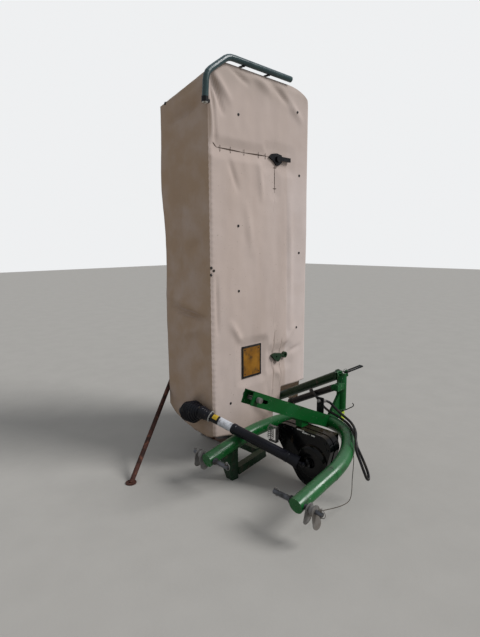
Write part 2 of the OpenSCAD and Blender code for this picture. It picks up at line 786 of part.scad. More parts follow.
// Lower edge of the curtains from the face outwards, and the hem of the face from front to rear
face_hem = [[-420, 95], [-600, 50], [-700, 32], [-720, -10], [-955, -10], [-955, 245], [-1054, 245], [-1054, 375]];
curtain_edge = [[-732, 119], [-880, 134], [-1029, 175], [-1140, 225], [-1260, 305]];

module canvas_cover() {
    y1 = -cover_y;
    y2 = -cover_y - cover_d;
    slope = atan2(206, cover_d);
    color("wheat") place() difference() {
        translate([0, y1, 0]) rotate([90, 0, 0]) linear_extrude(cover_d) hood_outline(0, -40);
        translate([0, y1 - cover_t, 0]) rotate([90, 0, 0]) linear_extrude(cover_d) hood_outline(cover_t, -60);
        translate([0, y1, cover_top]) rotate([slope, 0, 0]) translate([-2000, -1500, 0]) cube([3000, 1510, 400]);
        translate([-2000, 0, 0]) rotate([90, 0, 90]) linear_extrude(3000)
            polygon(concat([[y1 - cover_t, -100], [y1 - cover_t, cover_low - 6]], curtain_edge, [[-1260, -100]]));
        translate([0, y1 + 10, 0]) rotate([90, 0, 0]) linear_extrude(70)
            polygon(concat([[-100, -100], [-100, cover_low], [-cover_x, cover_low]], face_hem, [[-1700, 375], [-1700, -100]]));
    }
    color("wheat") place() intersection() {
        translate([0, y1, 0]) rotate([90, 0, 0]) linear_extrude(cover_d) hood_outline(0, -40);
        translate([0, y1, cover_top]) rotate([slope, 0, 0]) translate([-2000, -1500, -cover_t]) cube([3000, 1500, cover_t]);
    }
}

// Route of the guard tube, seen square on: X and height
rail_route = [[-188, 2705], [-194, 2780], [-199, 2850], [-206, 2886], [-220, 2914], [-242, 2936], [-318, 2992],
    [-388, 3042], [-414, 3056], [-442, 3064], [-478, 3067], [-778, 3067], [-1141, 3067]];

module guard_rail() {
    rail_gap = rail_d / 2 + seat;
    color("darkslategray") place() tube_along([for (q = rail_route) [q[0], -cover_y + rail_gap, q[1]]], rail_d, 24);
}

module blank_plate() {
    color("goldenrod") place() block([-570, -cover_y + seat, 560], [-795, -cover_y + 6, 830]);
}

module latch_ear() {
    loop = [-1106, 678];
    color("darkgreen") place() translate([0, -cover_y + 26, 0]) rotate([90, 0, 0])
        linear_extrude(26 - seat) difference() {
            union() {
                polygon([[-925, 700], [-965, 716], [-1049, 702], [-1049, 664], [-1032, 640], [-1010, 628],
                    [-985, 640], [-950, 668]]);
                translate(loop) circle(r = 28);
                translate([loop[0], loop[1] - 10]) square([70, 20]);
            }
            translate(loop) circle(r = 15);
            translate([-985, 680]) circle(r = 9);
        }
}

module strap_toggle() {
    color("black") place() {
        translate([0, -cover_y + 14, 0]) rotate([90, 0, 0])
            linear_extrude(14 - seat)
                polygon([[-888, 2411], [-925, 2440], [-985, 2450], [-1050, 2440], [-1050, 2380], [-1010, 2352],
                    [-985, 2350], [-940, 2385]]);
        rod_y(-cover_y + 10, -cover_y + 30, -1000, 2405, 56);
        block([-1148, -cover_y + 12, 2391], [-1000, -cover_y + 30, 2425]);
    }
}

// Fork round the head of the prop, on an arm welded to the sole of the bar
module prop_bracket() {
    from_y = bar_y - 2 * seat - skid_t;
    arm_from = [bar_x + 62, from_y, prop_top[2]];
    arm_to = prop_top + (fork_back - 8) * [cos(prop_a), sin(prop_a), 0];
    color("darkgreen") place() difference() {
        union() {
            translate(prop_top) rotate([0, 0, prop_a]) {
                for (s = [-1, 1]) translate([0, s * (fork_half - cheek / 2) + cheek / 2, 0])
                    rotate([90, 0, 0]) linear_extrude(cheek) {
                        circle(r = 32);
                        translate([0, -32]) square([fork_back, 64]);
                    }
                translate([fork_back - 14, -fork_half, -32]) cube([14, 2 * fork_half, 64]);
            }
            box_run(arm_from, arm_to, 54, 0);
            block([bar_x - 20, from_y, prop_top[2] - 45], [bar_x + 100, from_y - 12, prop_top[2] + 45]);
        }
        translate(prop_top) rotate([0, 0, prop_a])
            translate([-40, -fork_half + cheek, -40]) cube([fork_back - 14 + 40, 2 * (fork_half - cheek), 80]);
        block([bar_x - 300, from_y, 0], [bar_x + 300, bar_y + 400, 900]);
    }
    color("darkgreen") place() translate(prop_top) rotate([0, 0, prop_a])
        translate([0, fork_half, 0]) rotate([90, 0, 0]) cylinder(d = prop_pin_d, h = 2 * fork_half);
}

// One disc on its hub, seen from above the bar: two lobes, a crown and two blades
module disc(i) {
    lobe_r = 46;
    hub_h = 46;
    plate_h = 10;
    color("firebrick") place() translate([bar_x, bar_face + seat, first_disc_z + i * disc_pitch])
        rotate([-90, 0, 0]) rotate([0, 0, 90 * (i % 2)]) {
            cylinder(d = 96, h = hub_h);
            translate([0, 0, hub_h]) linear_extrude(plate_h) for (a = [0, 180])
                rotate(a) oblong(128, lobe_r, disc_r - lobe_r);
            translate([0, 0, hub_h + plate_h]) cylinder(d1 = 190, d2 = 110, h = 22);
            translate([0, 0, hub_h + plate_h + 22]) cylinder(d = 50, h = 10);
            for (a = [0, 180]) rotate([0, 0, a]) {
                translate([disc_r - 62, -21, hub_h - 5]) cube([blade_r - disc_r + 62, 42, 5]);
                translate([disc_r - 36, 0, hub_h - 18]) cylinder(d = 30, h = 18);
            }
        }
}

module disc_1() { disc(0); }
module disc_2() { disc(1); }
module disc_3() { disc(2); }
module disc_4() { disc(3); }
module disc_5() { disc(4); }
module disc_6() { disc(5); }

module prop_bar() {
    len = norm(prop_top - prop_foot);
    plate_h = 8;
    head = fork_half - cheek - fit;
    color("saddlebrown") place() difference() {
        union() {
            along(prop_foot, prop_top) cylinder(d = prop_d, h = len - 20);
            translate(prop_top) rotate([90, 0, prop_a]) translate([0, 0, -head]) cylinder(d = 52, h = 2 * head);
            translate(prop_foot) cylinder(r = prop_foot_r, h = plate_h);
        }
        translate(prop_top) rotate([0, 0, prop_a]) translate([0, 60, 0]) rotate([90, 0, 0])
            cylinder(d = prop_pin_d + 2 * run, h = 120);
        below_ground();
    }
}

// Stretches of the drive shaft along its own line
slip_z = 605;
bell_len = 150;
yoke_tail = 40;

module shaft_inner_tube() {
    color("black") place() along(input_joint, shaft_end) {
        difference() {
            union() {
                translate([0, 0, 66]) cylinder(d = guard_d1, h = slip_z - 66);
                translate([0, 0, 36]) cylinder(d1 = 100, d2 = guard_d1, h = 80);
            }
            translate([0, 0, 160]) cylinder(d = guard_d2 + 4 * run, h = slip_z);
            translate([0, 0, 30]) cylinder(d1 = 88, d2 = 62, h = 50);
        }
        sphere(r = knuckle_r);
        cylinder(d = 30, h = 90);
    }
}

module shaft_outer_tube() {
    color("black") place() {
        along(input_joint, shaft_end) difference() {
            translate([0, 0, 200]) cylinder(d = guard_d2, h = shaft_len - 200 + 10);
            translate([0, 0, 190]) cylinder(d = guard_d2 - 10, h = shaft_len - 290);
        }
        along(shaft_end, shaft_end + bell_aim) difference() {
            union() {
                sphere(d = guard_d2 + 16);
                translate([0, 0, 12]) cylinder(d1 = guard_d2, d2 = bell_d, h = 84);
                translate([0, 0, 96]) cylinder(d1 = bell_d, d2 = bell_d - 26, h = bell_len - 50);
            }
            translate([0, 0, 32]) cylinder(d = yoke_tail + 2 * run, h = 48);
            translate([0, 0, 50]) cylinder(d1 = guard_d2, d2 = bell_d - 34, h = 50);
            translate([0, 0, 99.9]) cylinder(d1 = bell_d - 34, d2 = bell_d - 40, h = bell_len);
        }
    }
}

module shaft_yoke() {
    color("dimgray") place() along(shaft_end, shaft_end + bell_aim) {
        difference() {
            union() {
                translate([0, 0, 196]) cylinder(d = 62, h = 64);
                for (s = [-1, 1]) translate([s * 26 - 8, -20, 140]) cube([16, 40, 62]);
                translate([0, 0, 150]) rotate([0, 90, 0]) translate([0, 0, -34]) cylinder(d = 24, h = 68);
                translate([0, 0, 110]) cylinder(d = 30, h = 40);
                translate([0, 0, 34]) cylinder(d = yoke_tail, h = 78);
            }
            translate([0, 0, 200]) cylinder(d = yoke_bore, h = 80);
        }
    }
}

hitch_bow();
link_pin_left();
link_pin_right();
catch_guide_left();
catch_guide_right();
mast_arm();
mast_pin();
parking_foot();
low_beam();
cross_arm();
rear_post();
carrier_tube();
transport_link();
reflector();
belt_casing();
input_stub();
tensioner_spring();
hose_holder();
hydraulic_hose();
hose_coupling();
pull_cord();
cylinder_barrel();
cylinder_rod();
hinge_frame();
inner_gearbox();
cutter_beam();
bar_skids();
inner_shoe();
outer_shoe();
hood_frame();
canvas_cover();
guard_rail();
blank_plate();
latch_ear();
strap_toggle();
prop_bracket();
disc_1();
disc_2();
disc_3();
disc_4();
disc_5();
disc_6();
prop_bar();
shaft_inner_tube();
shaft_outer_tube();
shaft_yoke();
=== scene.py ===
import math

import bmesh
import bpy
from mathutils import Matrix, Vector, noise


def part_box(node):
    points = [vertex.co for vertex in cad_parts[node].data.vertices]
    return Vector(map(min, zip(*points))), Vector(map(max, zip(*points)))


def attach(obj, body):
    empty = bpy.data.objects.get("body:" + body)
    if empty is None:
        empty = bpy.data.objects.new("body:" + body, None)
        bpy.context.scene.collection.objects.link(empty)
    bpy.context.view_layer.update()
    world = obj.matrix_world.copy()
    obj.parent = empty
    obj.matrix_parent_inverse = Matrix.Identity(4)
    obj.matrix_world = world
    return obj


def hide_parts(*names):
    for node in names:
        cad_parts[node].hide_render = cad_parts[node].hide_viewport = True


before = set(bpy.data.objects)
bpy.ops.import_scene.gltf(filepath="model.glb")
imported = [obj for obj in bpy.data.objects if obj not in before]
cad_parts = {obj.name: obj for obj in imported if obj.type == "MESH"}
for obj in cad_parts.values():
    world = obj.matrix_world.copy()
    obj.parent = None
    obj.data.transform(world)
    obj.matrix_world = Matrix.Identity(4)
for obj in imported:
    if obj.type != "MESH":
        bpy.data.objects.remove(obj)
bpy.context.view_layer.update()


# Camera
# Held at eye height, ahead of the headstock and to its left, and tipped a little down. Every
# place below is measured as here: forward of the lower link pins, left of the middle, above ground.
pin_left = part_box("link_pin_left")
pin_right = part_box("link_pin_right")
pins_x = (pin_left[0][0] + pin_left[1][0]) / 2
pins_y = (pin_left[1][1] + pin_right[0][1]) / 2
pins_z = (pin_left[0][2] + pin_left[1][2]) / 2
between_pins = Vector((pins_x, pins_y, 0))


def at(x, y, z):
    """A place on the machine, in metres."""
    return between_pins + Vector((x, y, z))


camera = bpy.data.objects.new("camera", bpy.data.cameras.new("camera"))
camera.data.lens = 25.98
camera_turn, camera_tip, camera_roll = (math.radians(a) for a in (135.85, 80.64, -0.346))
camera.matrix_world = (
    Matrix.Translation(at(2.084, 2.056, 1.834))
    @ Matrix.Rotation(camera_turn, 4, "Z")
    @ Matrix.Rotation(camera_tip, 4, "X")
    @ Matrix.Rotation(camera_roll, 4, "Z")
)
bpy.context.scene.collection.objects.link(camera)
bpy.context.scene.camera = camera
bpy.context.scene.view_settings.view_transform = "Standard"


# Floor and light
# A plain grey floor under a bright even sky, with one large soft lamp high on the machine's left
# and a little behind it.
def hue(code):
    """A colour written as six hex digits, as the numbers that a shader takes."""
    parts = [int(code[i : i + 2], 16) / 255 for i in (0, 2, 4)]
    return [p / 12.92 if p <= 0.04045 else ((p + 0.055) / 1.055) ** 2.4 for p in parts] + [1.0]


world = bpy.data.worlds.new("sky")
bpy.context.scene.world = world
world.use_nodes = True
sky = world.node_tree
sky_light = sky.nodes["Background"]
sky_light.inputs["Color"].default_value = (0.93, 0.96, 1.0, 1)
sky_light.inputs["Strength"].default_value = 0.46
sky_seen = sky.nodes.new("ShaderNodeBackground")
sky_seen.inputs["Color"].default_value = (0.86, 0.87, 0.88, 1)
sky_ray = sky.nodes.new("ShaderNodeLightPath")
sky_mix = sky.nodes.new("ShaderNodeMixShader")
sky.links.new(sky_ray.outputs["Is Camera Ray"], sky_mix.inputs[0])
sky.links.new(sky_light.outputs[0], sky_mix.inputs[1])
sky.links.new(sky_seen.outputs[0], sky_mix.inputs[2])
sky.links.new(sky_mix.outputs[0], sky.nodes["World Output"].inputs[0])

lamp = bpy.data.objects.new("lamp", bpy.data.lights.new("lamp", "SUN"))
lamp.data.energy = 2.5
lamp.data.angle = math.radians(25)
towards_lamp = Vector((-0.45, 0.62, 0.64))
lamp.rotation_euler = towards_lamp.to_track_quat("Z", "Y").to_euler()
bpy.context.scene.collection.objects.link(lamp)

floor_mesh = bpy.data.meshes.new("floor")
floor_mesh.from_pydata([(-30, -30, 0), (30, -30, 0), (30, 30, 0), (-30, 30, 0)], [], [(0, 1, 2, 3)])
floor = bpy.data.objects.new("floor", floor_mesh)
bpy.context.scene.collection.objects.link(floor)

EVEN = (1, 1, 1)


def surface(
    name, colour, rough=0.5, metal=0.0, shine=0.25, spread=0.12, grain=(60, 0.001), marks=(), zones=()
):
    """A finish that varies over the piece. Spread is how far the colour strays, and grain is the scale
    of the fine bumps and their depth in metres. Each mark is a tint laid on in patches: its noise
    scale, how much of the surface it takes, how soft its edge is, and how it is squeezed along X, Y, Z.
    Each zone is a tint that comes on from one place to another along x or z, or as the surface turns
    up or ahead, and then how much of it there is at most."""
    material = bpy.data.materials.new(name)
    material.use_nodes = True
    nodes, links = material.node_tree.nodes, material.node_tree.links
    shader = nodes["Principled BSDF"]
    shader.inputs["Metallic"].default_value = metal
    shader.inputs["Specular IOR Level"].default_value = shine
    place = nodes.new("ShaderNodeTexCoord")
    along = nodes.new("ShaderNodeSeparateXYZ")
    links.new(place.outputs["Object"], along.inputs[0])
    normal = nodes.new("ShaderNodeNewGeometry")
    turned_to = nodes.new("ShaderNodeSeparateXYZ")
    links.new(normal.outputs["Normal"], turned_to.inputs[0])
    measures = {
        "x": along.outputs[0], "z": along.outputs[2],
        "up": turned_to.outputs[2], "ahead": turned_to.outputs[0],
    }

    def cloud(scale, squeeze=EVEN, detail=6):
        mapping = nodes.new("ShaderNodeMapping")
        mapping.inputs["Scale"].default_value = squeeze
        links.new(place.outputs["Object"], mapping.inputs["Vector"])
        texture = nodes.new("ShaderNodeTexNoise")
        texture.inputs["Scale"].default_value = scale
        texture.inputs["Detail"].default_value = detail
        links.new(mapping.outputs[0], texture.inputs["Vector"])
        return texture.outputs["Fac"]

    def over(value, low, high, to_low, to_high):
        scaled = nodes.new("ShaderNodeMapRange")
        sockets = ("From Min", "From Max", "To Min", "To Max")
        for socket, number in zip(sockets, (low, high, to_low, to_high)):
            scaled.inputs[socket].default_value = number
        links.new(value, scaled.inputs["Value"])
        return scaled.outputs[0]

    def times(one, other):
        product = nodes.new("ShaderNodeMath")
        product.operation = "MULTIPLY"
        links.new(one, product.inputs[0])
        links.new(other, product.inputs[1])
        return product.outputs[0]

    def blend_colours(factor, first, second):
        mix = nodes.new("ShaderNodeMix")
        mix.data_type = "RGBA"
        links.new(factor, mix.inputs[0])
        for socket, shade in ((mix.inputs[6], first), (mix.inputs[7], second)):
            if isinstance(shade, list):
                socket.default_value = shade
            else:
                links.new(shade, socket)
        return mix.outputs[2]

    base = hue(colour)
    shaded = blend_colours(
        over(cloud(3.5), 0.35, 0.65, 0, 1),
        [c * (1 - spread) for c in base[:3]] + [1],
        [min(1, c * (1 + spread)) for c in base[:3]] + [1],
    )
    noise_low, noise_high = 0.28, 0.72
    for tint, scale, amount, soft, squeeze in marks:
        edge = noise_high - (noise_high - noise_low) * amount
        patches = over(cloud(scale, squeeze), edge - soft, edge + soft, 0, 1)
        shaded = blend_colours(patches, shaded, hue(tint))
    for tint, measure, start, end, most in zones:
        patches = over(cloud(5, detail=8), 0.32, 0.6, 0.55, 1)
        reach = over(measures[measure], start, end, 0, most)
        shaded = blend_colours(times(reach, patches), shaded, hue(tint))
    links.new(shaded, shader.inputs["Base Color"])
    roughness = over(cloud(18), 0.3, 0.7, max(0.05, rough - 0.1), min(1, rough + 0.1))
    links.new(roughness, shader.inputs["Roughness"])
    grain_scale, grain_depth = grain
    bump = nodes.new("ShaderNodeBump")
    bump.inputs["Strength"].default_value = 0.5
    bump.inputs["Distance"].default_value = grain_depth
    links.new(cloud(grain_scale, detail=3), bump.inputs["Height"])
    links.new(bump.outputs[0], shader.inputs["Normal"])
    return material


floor_finish = surface("floor_finish", "A9A6A1", rough=0.9, spread=0.02)
floor.data.materials.append(floor_finish)


# Bow, mast and beams
# Bent round tube and welded box. The bow is sprayed a deep glossy green, the mast and the rear post
# duller, and the foot and the beams are given the green darkened as painted shade. All are scratched to
# grey steel and dusty on top.
def coat(material, *names):
    """Gives CAD pieces their finish."""
    for name in names:
        for part_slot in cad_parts[name].material_slots:
            part_slot.material = material


green_paint = surface(
    "green_paint", "075420", rough=0.30, spread=0.14, shine=0.4,
    marks=[
        ("1D5C2E", 4, 0.34, 0.12, EVEN), ("7F867C", 80, 0.07, 0.02, EVEN),
        ("202C1C", 9, 0.16, 0.07, EVEN),
    ],
    zones=[("6C8272", "up", 0.6, 1.0, 0.3)],
)
mast_paint = surface(
    "mast_paint", "05481A", rough=0.40, spread=0.12, shine=0.15,
    marks=[
        ("15522A", 4, 0.30, 0.12, EVEN), ("7F867C", 80, 0.06, 0.02, EVEN),
        ("1B2618", 9, 0.16, 0.07, EVEN),
    ],
    zones=[("55695A", "up", 0.6, 1.0, 0.3)],
)
# Painted shade: the green is darkened for the foot, the beams and the other pieces that lie low or in
# shadow, with dirt and dust laid over it.
shaded_green_paint = surface(
    "shaded_green_paint", "0F2C17", rough=0.30,
    marks=[("1E3022", 6, 0.35, 0.1, EVEN), ("3A362C", 16, 0.20, 0.06, EVEN)],
    zones=[("48513F", "up", 0.5, 1.0, 0.4)],
)
coat(green_paint, "hitch_bow")
coat(mast_paint, "mast_arm", "rear_post")
coat(shaded_green_paint, "carrier_tube", "parking_foot", "low_beam", "cross_arm")


# Link pins and catch guides
# Turned steel pins, ground bright where the tractor's hooks work on them, and cast balls between
# two pressed sheet wings. All of it is dull grey with patches of brown dust.
bare_steel = surface(
    "bare_steel", "64666B", rough=0.36, metal=0.8,
    marks=[("34322F", 12, 0.42, 0.08, EVEN), ("4C3B30", 30, 0.15, 0.05, EVEN)],
)
zinc_steel = surface(
    "zinc_steel", "7E7C7A", rough=0.42, metal=0.35,
    marks=[("4F4B46", 14, 0.32, 0.08, EVEN), ("62594F", 5, 0.2, 0.1, EVEN)],
)
coat(bare_steel, "link_pin_left", "link_pin_right")
coat(zinc_steel, "catch_guide_left", "catch_guide_right", "mast_pin")


# Linch pins
# Spring-steel lock pins, each with a ring through its head. One goes through the inner and one
# through the outer end of each link pin, and one through the top link pin.
def solid(name, build, material, body, smooth=35):
    """A piece made by build, which fills an empty bmesh in the object's own frame."""
    mesh = bpy.data.meshes.new(name)
    form = bmesh.new()
    build(form)
    form.to_mesh(mesh)
    form.free()
    mesh.materials.append(material)
    piece = bpy.data.objects.new(name, mesh)
    bpy.context.scene.collection.objects.link(piece)
    for polygon in mesh.polygons:
        polygon.use_smooth = True
    mesh.set_sharp_from_angle(angle=math.radians(smooth))
    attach(piece, body)
    return piece


def turned(form, profile, place, sides=24):
    """Turns a profile of (radius, height) pairs about its own axis, and puts it at place."""
    rings = []
    for radius, height in profile:
        if radius == 0:
            rings.append([form.verts.new(place @ Vector((0, 0, height)))])
        else:
            rings.append([
                form.verts.new(place @ Vector((radius * math.cos(a), radius * math.sin(a), height)))
                for a in (2 * math.pi * k / sides for k in range(sides))
            ])
    for lower, upper in zip(rings, rings[1:]):
        for k in range(sides):
            n = (k + 1) % sides
            below = [lower[k % len(lower)], lower[n % len(lower)]]
            above = [upper[n % len(upper)], upper[k % len(upper)]]
            corners = list(dict.fromkeys(below + above))
            if len(corners) > 2:
                form.faces.new(corners)


def ring(form, place, radius, wire, turn=2 * math.pi, steps=28, sides=8, rise=0.0):
    """A round wire bent to an arc, whole by default; with a rise it becomes a coil."""
    loops = []
    closed = turn == 2 * math.pi and rise == 0
    for i in range(steps if closed else steps + 1):
        a = turn * i / steps
        centre = Vector((radius * math.cos(a), radius * math.sin(a), rise * i / steps))
        out = Vector((math.cos(a), math.sin(a), 0))
        loops.append([
            form.verts.new(place @ (centre + wire * (math.cos(b) * out + math.sin(b) * Vector((0, 0, 1)))))
            for b in (2 * math.pi * k / sides for k in range(sides))
        ])
    pairs = list(zip(loops, loops[1:])) + ([(loops[-1], loops[0])] if closed else [])
    for one, other in pairs:
        for k in range(sides):
            n = (k + 1) % sides
            form.faces.new([one[k], other[k], other[n], one[n]])
    if not closed:
        form.faces.new(loops[0][::-1])
        form.faces.new(loops[-1])


link_pin_holes = (0.238, 0.590)
mast_pin_hole = at(-0.0235, -0.066, 0.809)


def linch_pins(form):
    shank = [(0, -0.028), (0.0045, -0.026), (0.0050, 0.022)]
    head = [(0.008, 0.024), (0.008, 0.034), (0, 0.036)]
    upright = Matrix.Rotation(math.pi / 2, 4, "Y")
    spots = [at(0, side * reach, pins_z) for side in (1, -1) for reach in link_pin_holes]
    for spot in spots + [mast_pin_hole]:
        turned(form, shank + head, Matrix.Translation(spot), 12)
        ring(form, Matrix.Translation(spot + Vector((0, 0.004, 0.004))) @ upright, 0.027, 0.0022)


solid("linch_pins", linch_pins, zinc_steel, "headstock")


# Rear post
# The welded post behind the bow, with a bead round each end, a moulded yellow-green reflector on two
# screws, a flat black transport link with an open wire ring by its head, and a bent wire hook.
AHEAD, LEFT, UP = (1, 0, 0), (0, 1, 0), (0, 0, 1)


def facing(point, direction, spin=0.0):
    """The frame at a point whose own Z looks along direction."""
    aim = Vector(direction).to_track_quat("Z", "Y").to_matrix().to_4x4()
    return Matrix.Translation(point) @ aim @ Matrix.Rotation(spin, 4, "Z")


def weld_beads(form):
    for height in (0.462, 0.768):
        ring(form, facing(at(-1.085, 0, height), UP), 0.0405, 0.003, steps=40, sides=6)


solid("weld_beads", weld_beads, green_paint, "headstock")
black_paint = surface(
    "black_paint", "111316", rough=0.35,
    marks=[("2A2926", 8, 0.35, 0.08, EVEN), ("4A4034", 30, 0.12, 0.03, EVEN)],
)
reflector_plastic = surface(
    "reflector_plastic", "A9BE2C", rough=0.25, marks=[("7C8A30", 40, 0.3, 0.1, EVEN)]
)
coat(black_paint, "transport_link")
coat(reflector_plastic, "reflector")


def post_trim(form):
    screw = [(0.006, -0.001), (0.006, 0.002), (0.004, 0.004), (0, 0.004)]
    for height in (0.362, 0.412):
        turned(form, screw, facing(at(-1.091, 0.019, height), LEFT), 12)
    ring(form, facing(at(-1.0985, 0.028, 0.782), (1, 0.3, 0)), 0.020, 0.0016, turn=4.6, sides=6)


solid("post_trim", post_trim, zinc_steel, "headstock")


def rounded(route, steps=4):
    """Points on a smooth curve that goes through every point of the route."""
    points = []
    for i in range(len(route) - 1):
        a, b, c, d = (route[min(max(i + k, 0), len(route) - 1)] for k in (-1, 0, 1, 2))
        bend, twist = 2 * a - 5 * b + 4 * c - d, 3 * b - a - 3 * c + d
        for t in (s / steps for s in range(steps)):
            points.append(0.5 * (2 * b + (c - a) * t + bend * t**2 + twist * t**3))
    return points + [route[-1]]


def tube(name, points, diameter, material, body):
    """A round tube along points, as a curve."""
    data = bpy.data.curves.new(name, "CURVE")
    data.dimensions = "3D"
    data.bevel_depth = diameter / 2
    data.bevel_resolution = 4
    data.use_fill_caps = True
    spline = data.splines.new("POLY")
    spline.points.add(len(points) - 1)
    for knot, point in zip(spline.points, points):
        knot.co = (*point, 1)
    data.materials.append(material)
    piece = bpy.data.objects.new(name, data)
    bpy.context.scene.collection.objects.link(piece)
    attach(piece, body)
    return piece


hook_x, hook_d = -1.062, 0.008
hook_route = [
    at(hook_x, 0.030, 0.452), at(hook_x, 0.062, 0.468), at(hook_x, 0.098, 0.493),
    at(hook_x, 0.126, 0.512), at(hook_x, 0.134, 0.530), at(hook_x, 0.122, 0.540),
]
tube("wire_hook", rounded(hook_route), hook_d, black_paint, "headstock")


# Hydraulic hose
# Black rubber pressure hose with a hexagon nipple pressed on each end. It comes from the fold
# cylinder, lies over the bow, hangs in one long loop and is parked in a holder on the mast.
hose_rubber = surface(
    "hose_rubber", "1A1A1D", rough=0.4, grain=(300, 0.0005), marks=[("3A352E", 30, 0.3, 0.1, EVEN)]
)
hose_d = 0.020
plug_start = at(-0.852, -0.020, 0.576)
plug_run = (at(-0.790, -0.020, 0.592) - plug_start).normalized()
hose_route = [
    at(-1.000, -0.250, 0.5765), at(-0.985, -0.235, 0.594), at(-0.960, -0.205, 0.592),
    at(-0.943, -0.150, 0.558), at(-0.936, -0.110, 0.528), at(-0.920, -0.050, 0.498),
    at(-0.900, 0.020, 0.482), at(-0.885, 0.110, 0.470), at(-0.853, 0.216, 0.452),
    at(-0.790, 0.300, 0.438), at(-0.712, 0.372, 0.430), at(-0.662, 0.420, 0.392),
    at(-0.668, 0.452, 0.330), at(-0.686, 0.478, 0.258), at(-0.690, 0.500, 0.202),
    at(-0.672, 0.514, 0.176), at(-0.648, 0.512, 0.192), at(-0.632, 0.500, 0.240),
    at(-0.622, 0.474, 0.310), at(-0.622, 0.440, 0.380), at(-0.655, 0.410, 0.446),
    at(-0.745, 0.352, 0.460), at(-0.835, 0.258, 0.476), at(-0.892, 0.130, 0.498),
    at(-0.912, 0.055, 0.524), at(-0.922, 0.005, 0.548),
    plug_start - 0.050 * plug_run, plug_start - 0.025 * plug_run, plug_start,
]
hose_line = rounded(hose_route)


hose = tube("hose", hose_line, hose_d, hose_rubber, "headstock")
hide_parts("hydraulic_hose")
coat(zinc_steel, "hose_coupling")
coat(black_paint, "hose_holder")


def nipples(form):
    hexagon = [(0, -0.012), (0.014, -0.012), (0.014, 0.010), (0.012, 0.014)]
    neck = [(0.0112, 0.014), (0.0112, 0.034), (0.0102, 0.036)]
    turned(form, hexagon + neck, facing(hose_line[0], hose_line[1] - hose_line[0]), 6)
    plug = facing(plug_start, plug_run)
    turned(form, [(0.0125, -0.034), (0.0125, -0.004), (0.0135, -0.003)], plug, 20)
    turned(form, [(0.0150, 0.002), (0.0150, 0.013)], plug, 6)


solid("hose_nipples", nipples, zinc_steel, "headstock")


# Pull cord
# Thin braided cord, brown with dirt, tied round the bow at one end and to the left catch guide at
# the other, and hanging slack between them.
cord_fibre = surface(
    "cord_fibre", "4E4336", rough=0.9, grain=(900, 0.001), marks=[("2E2822", 60, 0.5, 0.1, EVEN)]
)
cord_d = 0.005
cord_route = [
    at(-0.615, 0.417, 0.358), at(-0.613, 0.425, 0.325), at(-0.605, 0.429, 0.260),
    at(-0.585, 0.436, 0.180), at(-0.550, 0.456, 0.100), at(-0.490, 0.475, 0.070),
    at(-0.370, 0.495, 0.095), at(-0.240, 0.505, 0.135), at(-0.130, 0.503, 0.166),
    at(-0.027, 0.492, 0.176),
]
cord_line = rounded(cord_route)
cord = tube("thin_cord", cord_line, cord_d, cord_fibre, "headstock")
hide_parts("pull_cord")


# Tensioner spring
# Zinc-plated coil on a thin guide rod, between the two ears of a sheet bracket beside the casing,
# with a hexagon head on each ear.
def bolt(form, place, across, high):
    """A hexagon head on its washer."""
    washer = across * 0.62
    hexagon = across * 0.5
    lap = high * 0.2
    turned(form, [(0, 0), (washer, 0), (washer, lap), (hexagon, high * 0.22)], place, 16)
    turned(form, [(hexagon, lap), (hexagon, high * 0.9), (across * 0.42, high), (0, high)], place, 6)


def slab(form, low, high):
    """A box with its edges just broken."""
    box = bmesh.ops.create_cube(form, size=1)["verts"]
    middle = [(a + b) / 2 for a, b in zip(low, high)]
    size = [abs(b - a) for a, b in zip(low, high)]
    bmesh.ops.transform(form, matrix=Matrix.Translation(middle) @ Matrix.Diagonal((*size, 1)), verts=box)
    edges = list({e for v in box for e in v.link_edges})
    bmesh.ops.bevel(form, geom=edges, offset=min(size) * 0.15, segments=2, affect="EDGES")


spring_foot = at(-0.478, -0.244, 0.306)
bracket_back = at(-0.4997, -0.177, 0)
coil_turns = 6


def spring_form(form):
    foot, back = spring_foot, bracket_back
    low, high = foot.z - 0.018, foot.z + 0.104
    half, sheet = 0.012, 0.008
    coil_start = Matrix.Translation(foot + Vector((0, 0, 0.002)))
    ring(form, coil_start, 0.0232, 0.0025, turn=2 * math.pi * coil_turns, steps=170, rise=0.092)
    rod = [(0, -0.020), (0.003, -0.020), (0.003, 0.116), (0, 0.116)]
    turned(form, rod, Matrix.Translation(foot), 12)
    for z in (low, high):
        slab(form, (foot.x - half, foot.y - half, z), (foot.x + half, back.y - sheet, z + sheet))
        bolt(form, Matrix.Translation((foot.x, foot.y, z + sheet)), 0.013, 0.007)
    slab(form, (back.x, back.y - sheet, low), (foot.x + half, back.y, high + sheet))


spring = solid("coil_spring", spring_form, zinc_steel, "headstock")
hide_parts("tensioner_spring")


# Belt casing
# Glossy black moulded shell over the belt and its three pulleys, with a round drum and low ribs on
# its face, screws along its rim, two narrow pale slats, and dried mud on its top.
casing_plastic = surface(
    "casing_plastic", "050608", rough=0.14, shine=0.2, grain=(40, 0.0005),
    marks=[("100F0E", 5, 0.34, 0.1, EVEN), ("2E271F", 13, 0.08, 0.05, EVEN)],
    zones=[("43392B", "up", 0.8, 1.0, 0.5)],
)
coat(casing_plastic, "belt_casing")
coat(bare_steel, "input_stub")
casing_front = -0.500
pulleys = ((0.112, 0.177), (0.215, 0.368), (-0.120, 0.373))


def casing_screws(form):
    rows = ((0.122, (-150, -110, -70, -30, 5)), (0.070, (0, 45, 90)), (0.066, (90, 145, 200, 250)))
    spots = []
    for (y, z), (radius, angles) in zip(pulleys, rows):
        spots += [(y + radius * math.cos(a), z + radius * math.sin(a)) for a in map(math.radians, angles)]
    spots += [(0.130, 0.440), (0.045, 0.440), (-0.040, 0.440), (-0.066, 0.201)]
    for y, z in spots:
        bolt(form, facing(at(casing_front, y, z), AHEAD), 0.013, 0.006)


